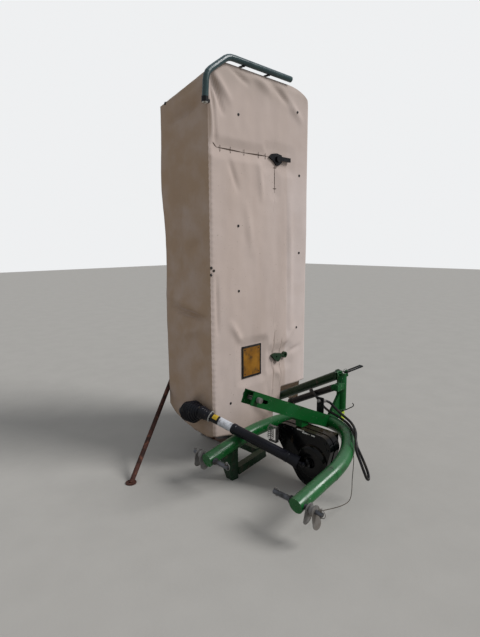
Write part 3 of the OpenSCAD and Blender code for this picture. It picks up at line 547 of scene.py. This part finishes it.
def casing_ribs(form):
    arcs = ((0.105, 185, 195), (0.055, -20, 110), (0.052, 80, 190))
    for (y, z), (radius, start, sweep) in zip(pulleys, arcs):
        place = facing(at(casing_front, y, z), AHEAD, math.radians(start))
        ring(form, place, radius, 0.003, turn=math.radians(sweep), steps=30, sides=6)


def casing_drum(form):
    flat_r, edge_r = 0.100, 0.028
    edge = [math.pi / 16 * k for k in range(9)]
    profile = [(flat_r + edge_r * math.cos(a), edge_r * math.sin(a)) for a in edge]
    profile += [(0.045, 0.030), (0.040, 0.028)]
    turned(form, profile, facing(at(casing_front, 0.150, 0.240), AHEAD), 64)


solid("casing_screws", casing_screws, black_paint, "headstock")
solid("casing_drum", casing_drum, casing_plastic, "headstock")
solid("casing_ribs", casing_ribs, casing_plastic, "headstock")
pale_paint = surface("pale_paint", "C9C9C4", rough=0.5, marks=[("8A867C", 30, 0.3, 0.08, EVEN)])


def slats(form):
    half = 0.004
    for start, end, z in ((0.003, 0.070, 0.452), (0.052, 0.169, 0.441)):
        slab(form, at(casing_front - 0.0005, start, z - half), at(casing_front + 0.003, end, z + half))


solid("pale_slats", slats, pale_paint, "headstock")


# Cutter bar
# A long flat welded housing with its discs along it, red paint worn thin and brown with dried
# sap, hardened skid plates bent round its front edge, and a bolt row along each edge.
red_paint = surface(
    "red_paint", "6E2218", rough=0.5, spread=0.2,
    marks=[
        ("452A21", 7, 0.5, 0.09, EVEN), ("8C8880", 30, 0.14, 0.03, EVEN),
        ("55502F", 4, 0.3, 0.1, EVEN),
    ],
)
wear_steel = surface(
    "wear_steel", "4A4642", rough=0.5, metal=0.6,
    marks=[("6B4630", 9, 0.45, 0.08, EVEN), ("8A8782", 16, 0.25, 0.05, (1, 1, 3))],
)
disc_nodes = ["disc_%d" % (number + 1) for number in range(6)]
coat(red_paint, "cutter_beam", *disc_nodes)
coat(wear_steel, "bar_skids", "inner_shoe")
coat(green_paint, "outer_shoe")
coat(shaded_green_paint, "inner_gearbox")
bar_x, bar_face, first_disc, disc_pitch = -0.672, -1.138, 0.650, 0.400


def on_bar(radius, angle, lift, height):
    """A place on a circle that stands a lift above the bar's face, round its middle at a height."""
    return at(bar_x + radius * math.cos(angle), bar_face + lift, height - radius * math.sin(angle))


def bar_bolts(form):
    edge_bolt, gearbox_bolt = (0.017, 0.010), (0.014, 0.009)
    for side in (-0.112, 0.112):
        for k in range(23):
            spot = at(bar_x + side, bar_face, 0.430 + 0.106 * k)
            bolt(form, facing(spot, LEFT, 0.3 * k), *edge_bolt)
    for a in (math.pi / 4 * k for k in range(8)):
        bolt(form, facing(on_bar(0.085, a, 0.0523, 0.278), LEFT, a), *gearbox_bolt)
    for x in (-0.551, -0.899):
        for z in (0.225, 0.300, 0.355):
            bolt(form, facing(at(x, bar_face + 0.0103, z), LEFT), *edge_bolt)


def disc_bolts(number):
    """Four bolts on a disc's crown and a round nut over each blade; each disc stands across the last."""
    turn = math.pi / 2 * (number % 2)
    height = first_disc + disc_pitch * number
    crown, plate = 0.0783, 0.0563
    blade_nut = [(0.016, 0), (0.016, 0.004), (0.011, 0.008), (0, 0.009)]

    def build(form):
        for a in (math.pi / 2 * k + turn for k in range(4)):
            bolt(form, facing(on_bar(0.040, a, crown, height), LEFT, a), 0.012, 0.006)
        for a in (turn, turn + math.pi):
            turned(form, blade_nut, facing(on_bar(0.160, a, plate, height), LEFT), 20)

    return build


solid("bar_bolts", bar_bolts, zinc_steel, "cutterbar")
for number, disc in enumerate(disc_nodes):
    solid("disc_bolts_%d" % (number + 1), disc_bolts(number), wear_steel, disc)


# Fold joint and cylinder
# The hinge frame swings on one long shaft, with a washer and a pin head at each of its ends, and is
# lifted by a black cylinder with a chromed rod.
rod_chrome = surface(
    "rod_chrome", "C8C8C8", rough=0.16, metal=1.0, grain=(400, 0.00005),
    marks=[("8E8A84", 10, 0.25, 0.1, EVEN)],
)
coat(shaded_green_paint, "hinge_frame")
coat(black_paint, "cylinder_barrel")
coat(rod_chrome, "cylinder_rod")


def fold_trim(form):
    washer = [(0.027, -0.004), (0.027, 0.002)]
    pin_head = [(0.016, 0.002), (0.016, 0.010), (0, 0.010)]
    for x, way in ((-0.500, 1), (-1.165, -1)):
        turned(form, washer + pin_head, facing(at(x, -0.740, 0.370), (way, 0, 0)), 28)


solid("fold_trim", fold_trim, zinc_steel, "cutterbar")


# Canvas cover
# Coated canvas, sewn as one hood: a broad face towards the headstock, two side curtains and a top
# that falls away outwards. It is laced over the light tube frame, creased and stained by rain, and
# behind the rear crease of its face the cloth is painted lighter as painted light.
cover_low, cover_high = (Vector(c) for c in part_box("canvas_cover"))
face_y, front_x, back_x, top_z = cover_high.y, cover_high.x, cover_low.x, cover_high.z
cover_depth = cover_high.y - cover_low.y
cloth_rows, cloth_deep = 200, 30
cloth_inset = 0.001
top_fall = 0.206
# Width and height of the two rounded upper corners
front_corner = (0.207, 0.146)
back_corner = (0.281, 0.132)
# Hems as (reach, height): the curtains' outwards from the face, the face's backwards from its front
rear_hem = 0.505
curtain_hem = [
    (0.000, 0.258), (0.075, 0.249), (0.223, 0.264), (0.372, 0.305), (0.483, 0.355), (0.574, 0.416),
]
broad_hem = [
    (0.000, 0.264), (0.187, 0.225), (0.367, 0.180), (0.467, 0.162), (0.487, 0.120), (0.722, 0.120),
    (0.723, 0.375), (0.821, 0.375), (0.822, rear_hem), (1.190, rear_hem),
]
# Places where the face is held flat, by the plate, the ear, the toggle and the tears, as a middle
# and half its width and height
calm_places = [
    (-0.687, 0.825, 0.13, 0.15), (-1.030, 0.795, 0.13, 0.07), (-1.018, 2.532, 0.15, 0.07),
    (-0.600, 2.545, 0.31, 0.012), (-0.970, 2.365, 0.006, 0.12),
]
# Folds as their two ends, depth and width, and how hard the cloth is drawn into them
fold_pull = 2.4
face_folds = [
    (-0.255, 3.000, -0.300, 2.560, -0.014, 0.016), (-0.250, 3.060, -0.370, 2.800, -0.012, 0.020),
    (-0.300, 3.040, -0.430, 2.900, 0.010, 0.030), (-0.270, 2.900, -0.290, 2.640, 0.012, 0.022),
    (-0.460, 3.130, -0.640, 3.060, -0.010, 0.020), (-0.700, 3.135, -0.900, 3.050, 0.010, 0.040),
    (-0.940, 3.110, -1.160, 2.990, -0.010, 0.030), (-1.060, 3.070, -1.300, 2.900, 0.009, 0.035),
    (-1.120, 2.260, -1.142, 1.030, -0.003, 0.020), (-1.160, 2.200, -1.180, 1.060, 0.005, 0.034),
    (-1.060, 0.880, -1.240, 1.060, 0.006, 0.026), (-1.110, 0.800, -1.330, 0.860, -0.006, 0.024),
    (-0.950, 0.740, -1.060, 0.600, 0.004, 0.030), (-0.560, 1.000, -0.440, 1.180, 0.007, 0.030),
    (-0.290, 1.560, -0.300, 1.120, -0.006, 0.014), (-0.620, 2.120, -0.680, 1.760, 0.005, 0.040),
    (-0.420, 2.480, -0.520, 2.250, -0.006, 0.025), (-0.760, 2.480, -0.800, 2.200, 0.006, 0.030),
    (-0.640, 0.500, -0.860, 0.300, 0.007, 0.035), (-0.880, 0.560, -0.930, 0.200, -0.003, 0.030),
]
curtain_folds = [
    (0.070, 1.235, 0.470, 1.275, -0.016, 0.024), (0.110, 1.300, 0.520, 1.400, 0.014, 0.050),
    (0.080, 1.160, 0.350, 1.080, 0.010, 0.040), (0.040, 2.880, 0.480, 2.770, -0.010, 0.026),
    (0.050, 2.960, 0.400, 2.880, 0.010, 0.035), (0.200, 2.500, 0.230, 1.700, 0.008, 0.060),
    (0.380, 2.300, 0.400, 1.500, -0.008, 0.050), (0.060, 0.700, 0.300, 0.480, 0.008, 0.040),
    (0.440, 1.000, 0.500, 0.560, -0.008, 0.040), (0.060, 1.900, 0.260, 1.760, -0.006, 0.030),
]


def hem_height(hem, reach):
    """Height of a hem at a reach along it."""
    for (d0, z0), (d1, z1) in zip(hem, hem[1:]):
        if reach <= d1:
            return z0 + (z1 - z0) * (reach - d0) / (d1 - d0)
    return hem[-1][1]


def bell(distance, width):
    """1 at no distance, and falling off smoothly over a width."""
    return math.exp(-((distance / width) ** 2))


def pulled(u, v, folds):
    """How far the folds draw the cloth out at a place; each fades towards its two ends."""
    total = 0
    for u0, v0, u1, v1, deep, wide in folds:
        du, dv = u1 - u0, v1 - v0
        share = max(0, min(1, ((u - u0) * du + (v - v0) * dv) / (du * du + dv * dv)))
        away = math.hypot(u - u0 - share * du, v - v0 - share * dv)
        total += deep * math.sin(math.pi * (0.12 + 0.76 * share)) * bell(away, wide)
    return fold_pull * total


def cloth_wave(u, v, seed):
    """Slow bellies and long soft folds of slack cloth, in metres."""
    slow = noise.noise(Vector((u * 1.6, v * 0.9, seed)))
    long_fold = noise.noise(Vector((u * 7.0, v * 1.2, seed + 7)))
    small = noise.noise(Vector((u * 14.0, v * 9.0, seed + 19)))
    return 0.014 * slow + 0.0075 * long_fold + 0.0022 * small


def edge_sway(z):
    """How far the outer edge of the front curtain sags outwards at a height."""
    return 0.026 * bell(z - 2.32, 0.26) - 0.006 * bell(z - 1.85, 0.2) + 0.008 * bell(z - 1.25, 0.25)


def face_out(x, z):
    """How far the broad face stands out of its plane at a place: nothing at its edges or where it is
    held flat, and a fine pucker beside the front seam below the tear."""
    u = x - between_pins.x
    edge = min(1, max(0, min(front_x - x, x - back_x)) / 0.022, max(0, top_z - z) / 0.05)
    calm = 1
    for mid_u, mid_z, half_u, half_z in calm_places:
        away = math.hypot(max(0, abs(u - mid_u) - half_u), max(0, abs(z - mid_z) - half_z))
        calm = min(calm, away / 0.07)
    pucker = 0.0022 * math.sin(z * 130 + 3 * noise.noise(Vector((z * 4, 0, 5))))
    pucker *= bell(front_x - x - 0.012, 0.02) * (z < 2.6)
    out = 0.015 + cloth_wave(u, z, 3.0) + pulled(u, z, face_folds)
    return max(-0.004, out) * edge * calm + pucker


def outline(depth):
    """The hood's upper outline at a depth behind the face; its corners grow tighter outwards."""
    arc, inner = 18, 56
    tight = 1 - 0.82 * depth / cover_depth
    fx, fz = front_corner[0] * tight, front_corner[1] * tight
    bx, bz = back_corner[0] * tight, back_corner[1] * tight
    turns = [math.pi / 2 * k / arc for k in range(arc + 1)]
    front = [(front_x - fx * (1 - math.cos(a)), top_z - fz * (1 - math.sin(a))) for a in turns]
    between = [(front_x - fx + (back_x + bx - front_x + fx) * k / inner, top_z) for k in range(1, inner)]
    back = [(back_x + bx * (1 - math.cos(a)), top_z - bz * (1 - math.sin(a))) for a in reversed(turns)]
    return front + between + back


def behind_face(column, row, depth, upper):
    """A place on the front curtain, the rear curtain or the top, which the cloth reaches from one
    place on the rim of the face."""
    near = min(1, depth / 0.06)
    x, top = upper[column]
    top -= top_fall * depth / cover_depth
    at_front, at_rear = column == 0, column == len(upper) - 1
    if at_front or at_rear:
        low = hem_height(curtain_hem, depth) if at_front or depth > 0.07 else rear_hem
        z = low + (top - low) * row / cloth_rows
        if at_front:
            out = cloth_wave(depth * 2, z, 11.0) + pulled(depth, z, curtain_folds) + 0.008
            x += out * near - cloth_inset
        else:
            x -= (cloth_wave(depth * 2, z, 23.0) + 0.004) * near - cloth_inset
    else:
        z = top + (0.5 * cloth_wave(x, depth * 2, 31.0) + 0.002) * near - cloth_inset
    sway = edge_sway(z) * (depth / cover_depth) ** 2 if x > front_x - 0.3 else 0
    return x, face_y - depth - sway, z


def cover_form(form):
    """The broad face as a grid, and then its rim carried outwards as the curtains and the top."""
    upper = outline(0)
    last = len(upper) - 1
    grid = []
    for x, top in upper:
        low = hem_height(broad_hem, front_x - x)
        heights = [low + (top - low) * j / cloth_rows for j in range(cloth_rows + 1)]
        grid.append([form.verts.new((x, face_y + face_out(x, z) - cloth_inset, z)) for z in heights])
    for i in range(last):
        for j in range(cloth_rows):
            form.faces.new([grid[i][j], grid[i][j + 1], grid[i + 1][j + 1], grid[i + 1][j]])
    rim = [(0, j) for j in range(cloth_rows + 1)]
    rim += [(i, cloth_rows) for i in range(1, last)]
    rim += [(last, j) for j in range(cloth_rows, -1, -1)]
    previous = [grid[i][j] for i, j in rim]
    for step in range(1, cloth_deep + 1):
        depth = cover_depth * step / cloth_deep
        upper = outline(depth)
        current = [form.verts.new(behind_face(i, j, depth, upper)) for i, j in rim]
        for a in range(len(rim) - 1):
            form.faces.new([previous[a], current[a], current[a + 1], previous[a + 1]])
        previous = current
    bmesh.ops.recalc_face_normals(form, faces=form.faces)


canvas = surface(
    "canvas", "BBABA2", rough=0.85, shine=0.1, spread=0.02, grain=(700, 0.0003),
    marks=[
        ("A3938A", 1.6, 0.28, 0.30, (2.0, 2.0, 0.4)), ("BFB2AD", 1.1, 0.26, 0.30, (1.8, 1.8, 0.5)),
        ("8F8478", 60, 0.03, 0.03, EVEN),
    ],
    zones=[
        # Painted light: behind its rear crease the face is painted lighter.
        ("C9BDB9", "x", at(-1.115, 0, 0).x, at(-1.135, 0, 0).x, 0.55),
        ("B5A69E", "z", 2.34, 2.52, 0.9),
        ("A38B74", "ahead", 0.40, 0.80, 0.9),
        ("7E6A56", "z", 0.50, 0.20, 0.45),
        ("8F877C", "z", 2.90, 3.12, 0.30),
    ],
)
cover = solid("hood_cloth", cover_form, canvas, "cutterbar", smooth=80)
thick = cover.modifiers.new("cloth", "SOLIDIFY")
thick.thickness = 0.002
thick.offset = -1
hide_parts("canvas_cover")
coat(shaded_green_paint, "hood_frame")


# Eyelets, tears and stitches
# Small black eyelets that lace the canvas to its frame, and a long tear with a shorter one below,
# both drawn together again with brown twine. The gaps of the tears are dark strips of painted shade.
def on_face(x, z, lift=0.0):
    """A place on the cloth of the broad face, or lifted a little off it."""
    spot = at(x, 0, z)
    return Vector((spot.x, face_y + face_out(spot.x, z) + lift, z))


eyelet_spots = [
    (-0.531, 2.811), (-1.236, 2.951), (-1.291, 2.425), (-0.524, 1.967), (-1.292, 1.738),
    (-1.277, 1.042), (-0.530, 1.442), (-0.427, 0.505), (-0.241, 1.643), (-0.240, 1.589),
    (-0.262, 1.620),
]


def eyelets(form):
    eyelet = [(0.011, -0.002), (0.011, 0.002), (0.008, 0.003), (0.006, 0.001), (0, 0.001)]
    for x, z in eyelet_spots:
        turned(form, eyelet, facing(on_face(x, z), LEFT), 16)


def slit(form, start, end, wide):
    """The gap of a tear as a dark strip of painted shade, narrow at its ends, on the face between two
    places.
    """
    steps = 16
    for k in range(steps):
        a, b = (Vector(start).lerp(Vector(end), t / steps) for t in (k, k + 1))
        half = wide * math.sin(math.pi * (k + 0.7) / (steps + 0.4)) / 2 + 0.0006
        across = Vector((-(b - a).y, (b - a).x)).normalized() * half
        corners = [a + across, b + across, b - across, a - across]
        form.faces.new([form.verts.new(on_face(p.x, p.y, 0.0012)) for p in corners])


def stitch(form, x, z, half_x, half_z):
    """One pull of twine across a tear, with a knot in its middle."""
    a, b = on_face(x - half_x, z - half_z, 0.002), on_face(x + half_x, z + half_z, 0.002)
    ring(form, facing((a + b) / 2, AHEAD if half_z > half_x else UP), 0.001, 0.0012, steps=6, sides=4)
    thick, deep = 0.0015, 0.001
    low = (min(a.x, b.x) - thick, a.y - deep, min(a.z, b.z) - thick)
    high = (max(a.x, b.x) + thick, a.y + deep, max(a.z, b.z) + thick)
    slab(form, low, high)


def tears(form):
    slit(form, (-0.272, 2.575), (-0.311, 2.545), 0.006)
    slit(form, (-0.311, 2.545), (-0.600, 2.540), 0.007)
    slit(form, (-0.600, 2.540), (-0.888, 2.545), 0.007)
    slit(form, (-0.970, 2.477), (-0.972, 2.254), 0.004)
    for x in (-0.345, -0.453, -0.600, -0.767, -0.850):
        stitch(form, x, 2.540, 0, 0.022)
    for z in (2.461, 2.291):
        stitch(form, -0.971, z, 0.018, 0)


solid("eyelets", eyelets, hose_rubber, "cutterbar")
# Painted shade: the tears' gaps are strips of this dark brown. The twine is the same brown as its own
# colour.
tear_shadow_and_twine = surface("tear_shadow_and_twine", "4A3A30", rough=0.9, marks=[("2A211C", 40, 0.4, 0.1, EVEN)])
solid("tear_and_twine", tears, tear_shadow_and_twine, "cutterbar")


# Guard rail and cover fittings
# A bluish painted tube over the cover's top edge, with a painted highlight along its upper side, a pale cap
# in its lower end, a collar and two clamps of black plastic, a bolt at the cover's outer corner, a green
# ear and a black toggle.
rail_paint_and_sheen = surface(
    "rail_paint_and_sheen", "2F4446", rough=0.25, shine=0.4,
    marks=[("1F2E33", 5, 0.3, 0.1, EVEN), ("6C787A", 40, 0.10, 0.04, EVEN)],
    # Painted highlight: the rail's upper side is painted a paler blue-grey.
    zones=[("74838A", "up", 0.3, 1.0, 0.45)],
)
black_plastic = surface(
    "black_plastic", "0B0B0F", rough=0.35, marks=[("24221F", 12, 0.25, 0.08, EVEN)]
)
coat(rail_paint_and_sheen, "guard_rail")
coat(shaded_green_paint, "latch_ear")
coat(black_plastic, "strap_toggle")
rail_y = face_y + 0.0243
rail_end = Vector((at(-0.188, 0, 0).x, rail_y, 2.835))
rail_clamp_x = (-0.588, -0.872)
rail_clamp_top = 3.178


def rail_clamps(form):
    collar = [(0.0215, 0.000), (0.0255, 0.000), (0.0255, 0.036), (0.0215, 0.036)]
    turned(form, collar, Matrix.Translation(rail_end), 28)
    tongue_low = (front_x - 0.022, face_y - 0.004, rail_end.z + 0.006)
    tongue_high = (rail_end.x, face_y + 0.010, rail_end.z + 0.032)
    slab(form, tongue_low, tongue_high)
    head_down = Matrix.Rotation(math.pi, 4, "X")
    for x in (at(forward, 0, 0).x for forward in rail_clamp_x):
        below = rail_clamp_top - 0.010
        slab(form, (x - 0.011, face_y - 0.030, below), (x + 0.011, rail_y + 0.010, rail_clamp_top))
        bolt(form, Matrix.Translation((x, rail_y, below)) @ head_down, 0.010, 0.006)
    bolt(form, facing(at(-0.225, -1.159, 2.936), AHEAD), 0.026, 0.012)


def rail_cap(form):
    dome = [(0, -0.008), (0.018, -0.007), (0.022, -0.003), (0.022, 0.001)]
    turned(form, dome, Matrix.Translation(rail_end), 24)


solid("rail_clamps", rail_clamps, black_plastic, "cutterbar")
solid("rail_cap", rail_cap, pale_paint, "cutterbar")


# Blank plate
# Thin bare yellow-orange plate, worn and stained, with a rivet near each corner that holds it to
# the cover and a dark rubber edge pressed round its rim.
plate_yellow = surface(
    "plate_yellow", "7E5312", rough=0.5,
    marks=[("4A3416", 16, 0.30, 0.08, EVEN), ("96681C", 7, 0.3, 0.1, EVEN)],
)
coat(plate_yellow, "blank_plate")
plate_low, plate_high = (Vector(c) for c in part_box("blank_plate"))


def plate_edge(form):
    low, high = plate_low, plate_high
    lap, wide, from_edge = 0.004, 0.012, 0.030
    for x0, x1, z0, z1 in (
        (low.x - lap, low.x + wide, low.z - lap, high.z + lap),
        (high.x - wide, high.x + lap, low.z - lap, high.z + lap),
        (low.x, high.x, low.z - lap, low.z + wide),
        (low.x, high.x, high.z - wide, high.z + lap),
    ):
        slab(form, (x0, low.y, z0), (x1, high.y + 0.003, z1))
    rivet = [(0.006, 0), (0.005, 0.003), (0, 0.004)]
    for x in (low.x + from_edge, high.x - from_edge):
        for z in (low.z + from_edge, high.z - from_edge):
            turned(form, rivet, facing(Vector((x, high.y, z)), LEFT), 12)


solid("plate_edge", plate_edge, hose_rubber, "cutterbar")


# Prop bar
# A round bar with a welded foot plate, pinned in a green fork on the sole of the cutter bar. Its
# paint is gone and the steel has rusted dark red-brown.
rusty_steel = surface(
    "rusty_steel", "452B25", rough=0.75, spread=0.25, shine=0.15,
    marks=[("2C1E1A", 14, 0.45, 0.08, EVEN), ("5C3A2E", 30, 0.3, 0.05, EVEN)],
)
coat(rusty_steel, "prop_bar")
coat(mast_paint, "prop_bracket")


# Drive shaft and its guard
# Two black plastic tubes that slide in each other and a ribbed bell over a steel yoke. The thin tube
# has a plain white slip and a yellow band, and a light chain lies round the neck of the bell.
guard_plastic = surface(
    "guard_plastic", "0A0B12", rough=0.30,
    marks=[("17171E", 7, 0.36, 0.1, EVEN), ("3A3630", 24, 0.09, 0.04, EVEN)],
    zones=[("2A2A33", "up", 0.4, 1.0, 0.4)],
)
coat(guard_plastic, "shaft_inner_tube", "shaft_outer_tube")
coat(bare_steel, "shaft_yoke")
joint_at, shaft_end = at(-0.452, 0.102, 0.216), at(-0.150, -0.678, 0.490)
shaft_way = (shaft_end - joint_at).normalized()
bell_way = Vector((25, -300, -50)).normalized()
thin_tube_r, bell_r, bell_lip_r = 0.034, 0.085, 0.072
cone_start, cone_end, bell_end = 0.012, 0.096, 0.196


def bell_radius(reach):
    """The bell opens as a cone from the thin tube, and then draws in a little to its lip."""
    if reach < cone_end:
        return thin_tube_r + (bell_r - thin_tube_r) * (reach - cone_start) / (cone_end - cone_start)
    return bell_r - (bell_r - bell_lip_r) * (reach - cone_end) / (bell_end - cone_end)


def bell_ribs(form):
    for reach in (0.030 + 0.0175 * k for k in range(10)):
        place = facing(shaft_end + bell_way * reach, bell_way)
        ring(form, place, bell_radius(reach) + 0.001, 0.0058, steps=44, sides=6)
    neck = facing(shaft_end, shaft_way)
    collar = [(0.0350, -0.082), (0.0385, -0.080), (0.0400, -0.060)]
    cone = [(0.0470, -0.012), (0.0530, 0.022), (0.0430, 0.030)]
    turned(form, collar + cone, neck, 36)
    for k in range(4):
        place = neck @ Matrix.Translation((0, 0, -0.052 + 0.019 * k))
        ring(form, place, 0.0415 + 0.0028 * k, 0.0042, steps=40, sides=6)


def tube_collars(form):
    collar = [(0.040, -0.014), (0.0425, -0.010), (0.0425, 0.010), (0.040, 0.014)]
    for reach in (0.130, 0.590):
        turned(form, collar, facing(joint_at + shaft_way * reach, shaft_way), 32)


solid("bell_ribs", bell_ribs, guard_plastic, "shaft_outer", smooth=60)
solid("tube_collars", tube_collars, guard_plastic, "shaft_inner", smooth=60)


def wrapped(start, end, first, sweep):
    """A thin sheet glued round the thin tube between two distances from the joint, over an arc."""
    place = facing(joint_at + shaft_way * start, shaft_way)
    radius = thin_tube_r + 0.0005
    steps = 20
    turns = [math.radians(first + sweep * k / steps) for k in range(steps + 1)]

    def build(form):
        near, far = (
            [form.verts.new(place @ Vector((radius * math.cos(a), radius * math.sin(a), h))) for a in turns]
            for h in (0, end - start)
        )
        for k in range(steps):
            form.faces.new([near[k], near[k + 1], far[k + 1], far[k]])

    return build


white_slip = surface("white_slip", "C4C6CC", rough=0.45, marks=[("8B8B8E", 40, 0.25, 0.08, EVEN)])
yellow_band = surface("yellow_band", "B99A2A", rough=0.45, marks=[("6F6032", 30, 0.3, 0.08, EVEN)])
solid("white_slip", wrapped(0.612, 0.725, 0, 360), white_slip, "shaft_outer")
solid("yellow_band", wrapped(0.742, 0.784, 20, 150), yellow_band, "shaft_outer")


def neck_chain(form):
    neck = facing(shaft_end - shaft_way * 0.072, shaft_way)
    outwards = Matrix.Translation((0.043, 0, 0))
    long_link = Matrix.Diagonal((0.7, 1.2, 1, 1))
    links = 26
    for k in range(links):
        round_neck = Matrix.Rotation(2 * math.pi * k / links, 4, "Z")
        twist = Matrix.Rotation(math.pi / 2 * (k % 2), 4, "Y")
        place = neck @ round_neck @ outwards @ twist @ long_link
        ring(form, place, 0.0055, 0.0011, steps=12, sides=5)


solid("neck_chain", neck_chain, pale_paint, "shaft_outer")
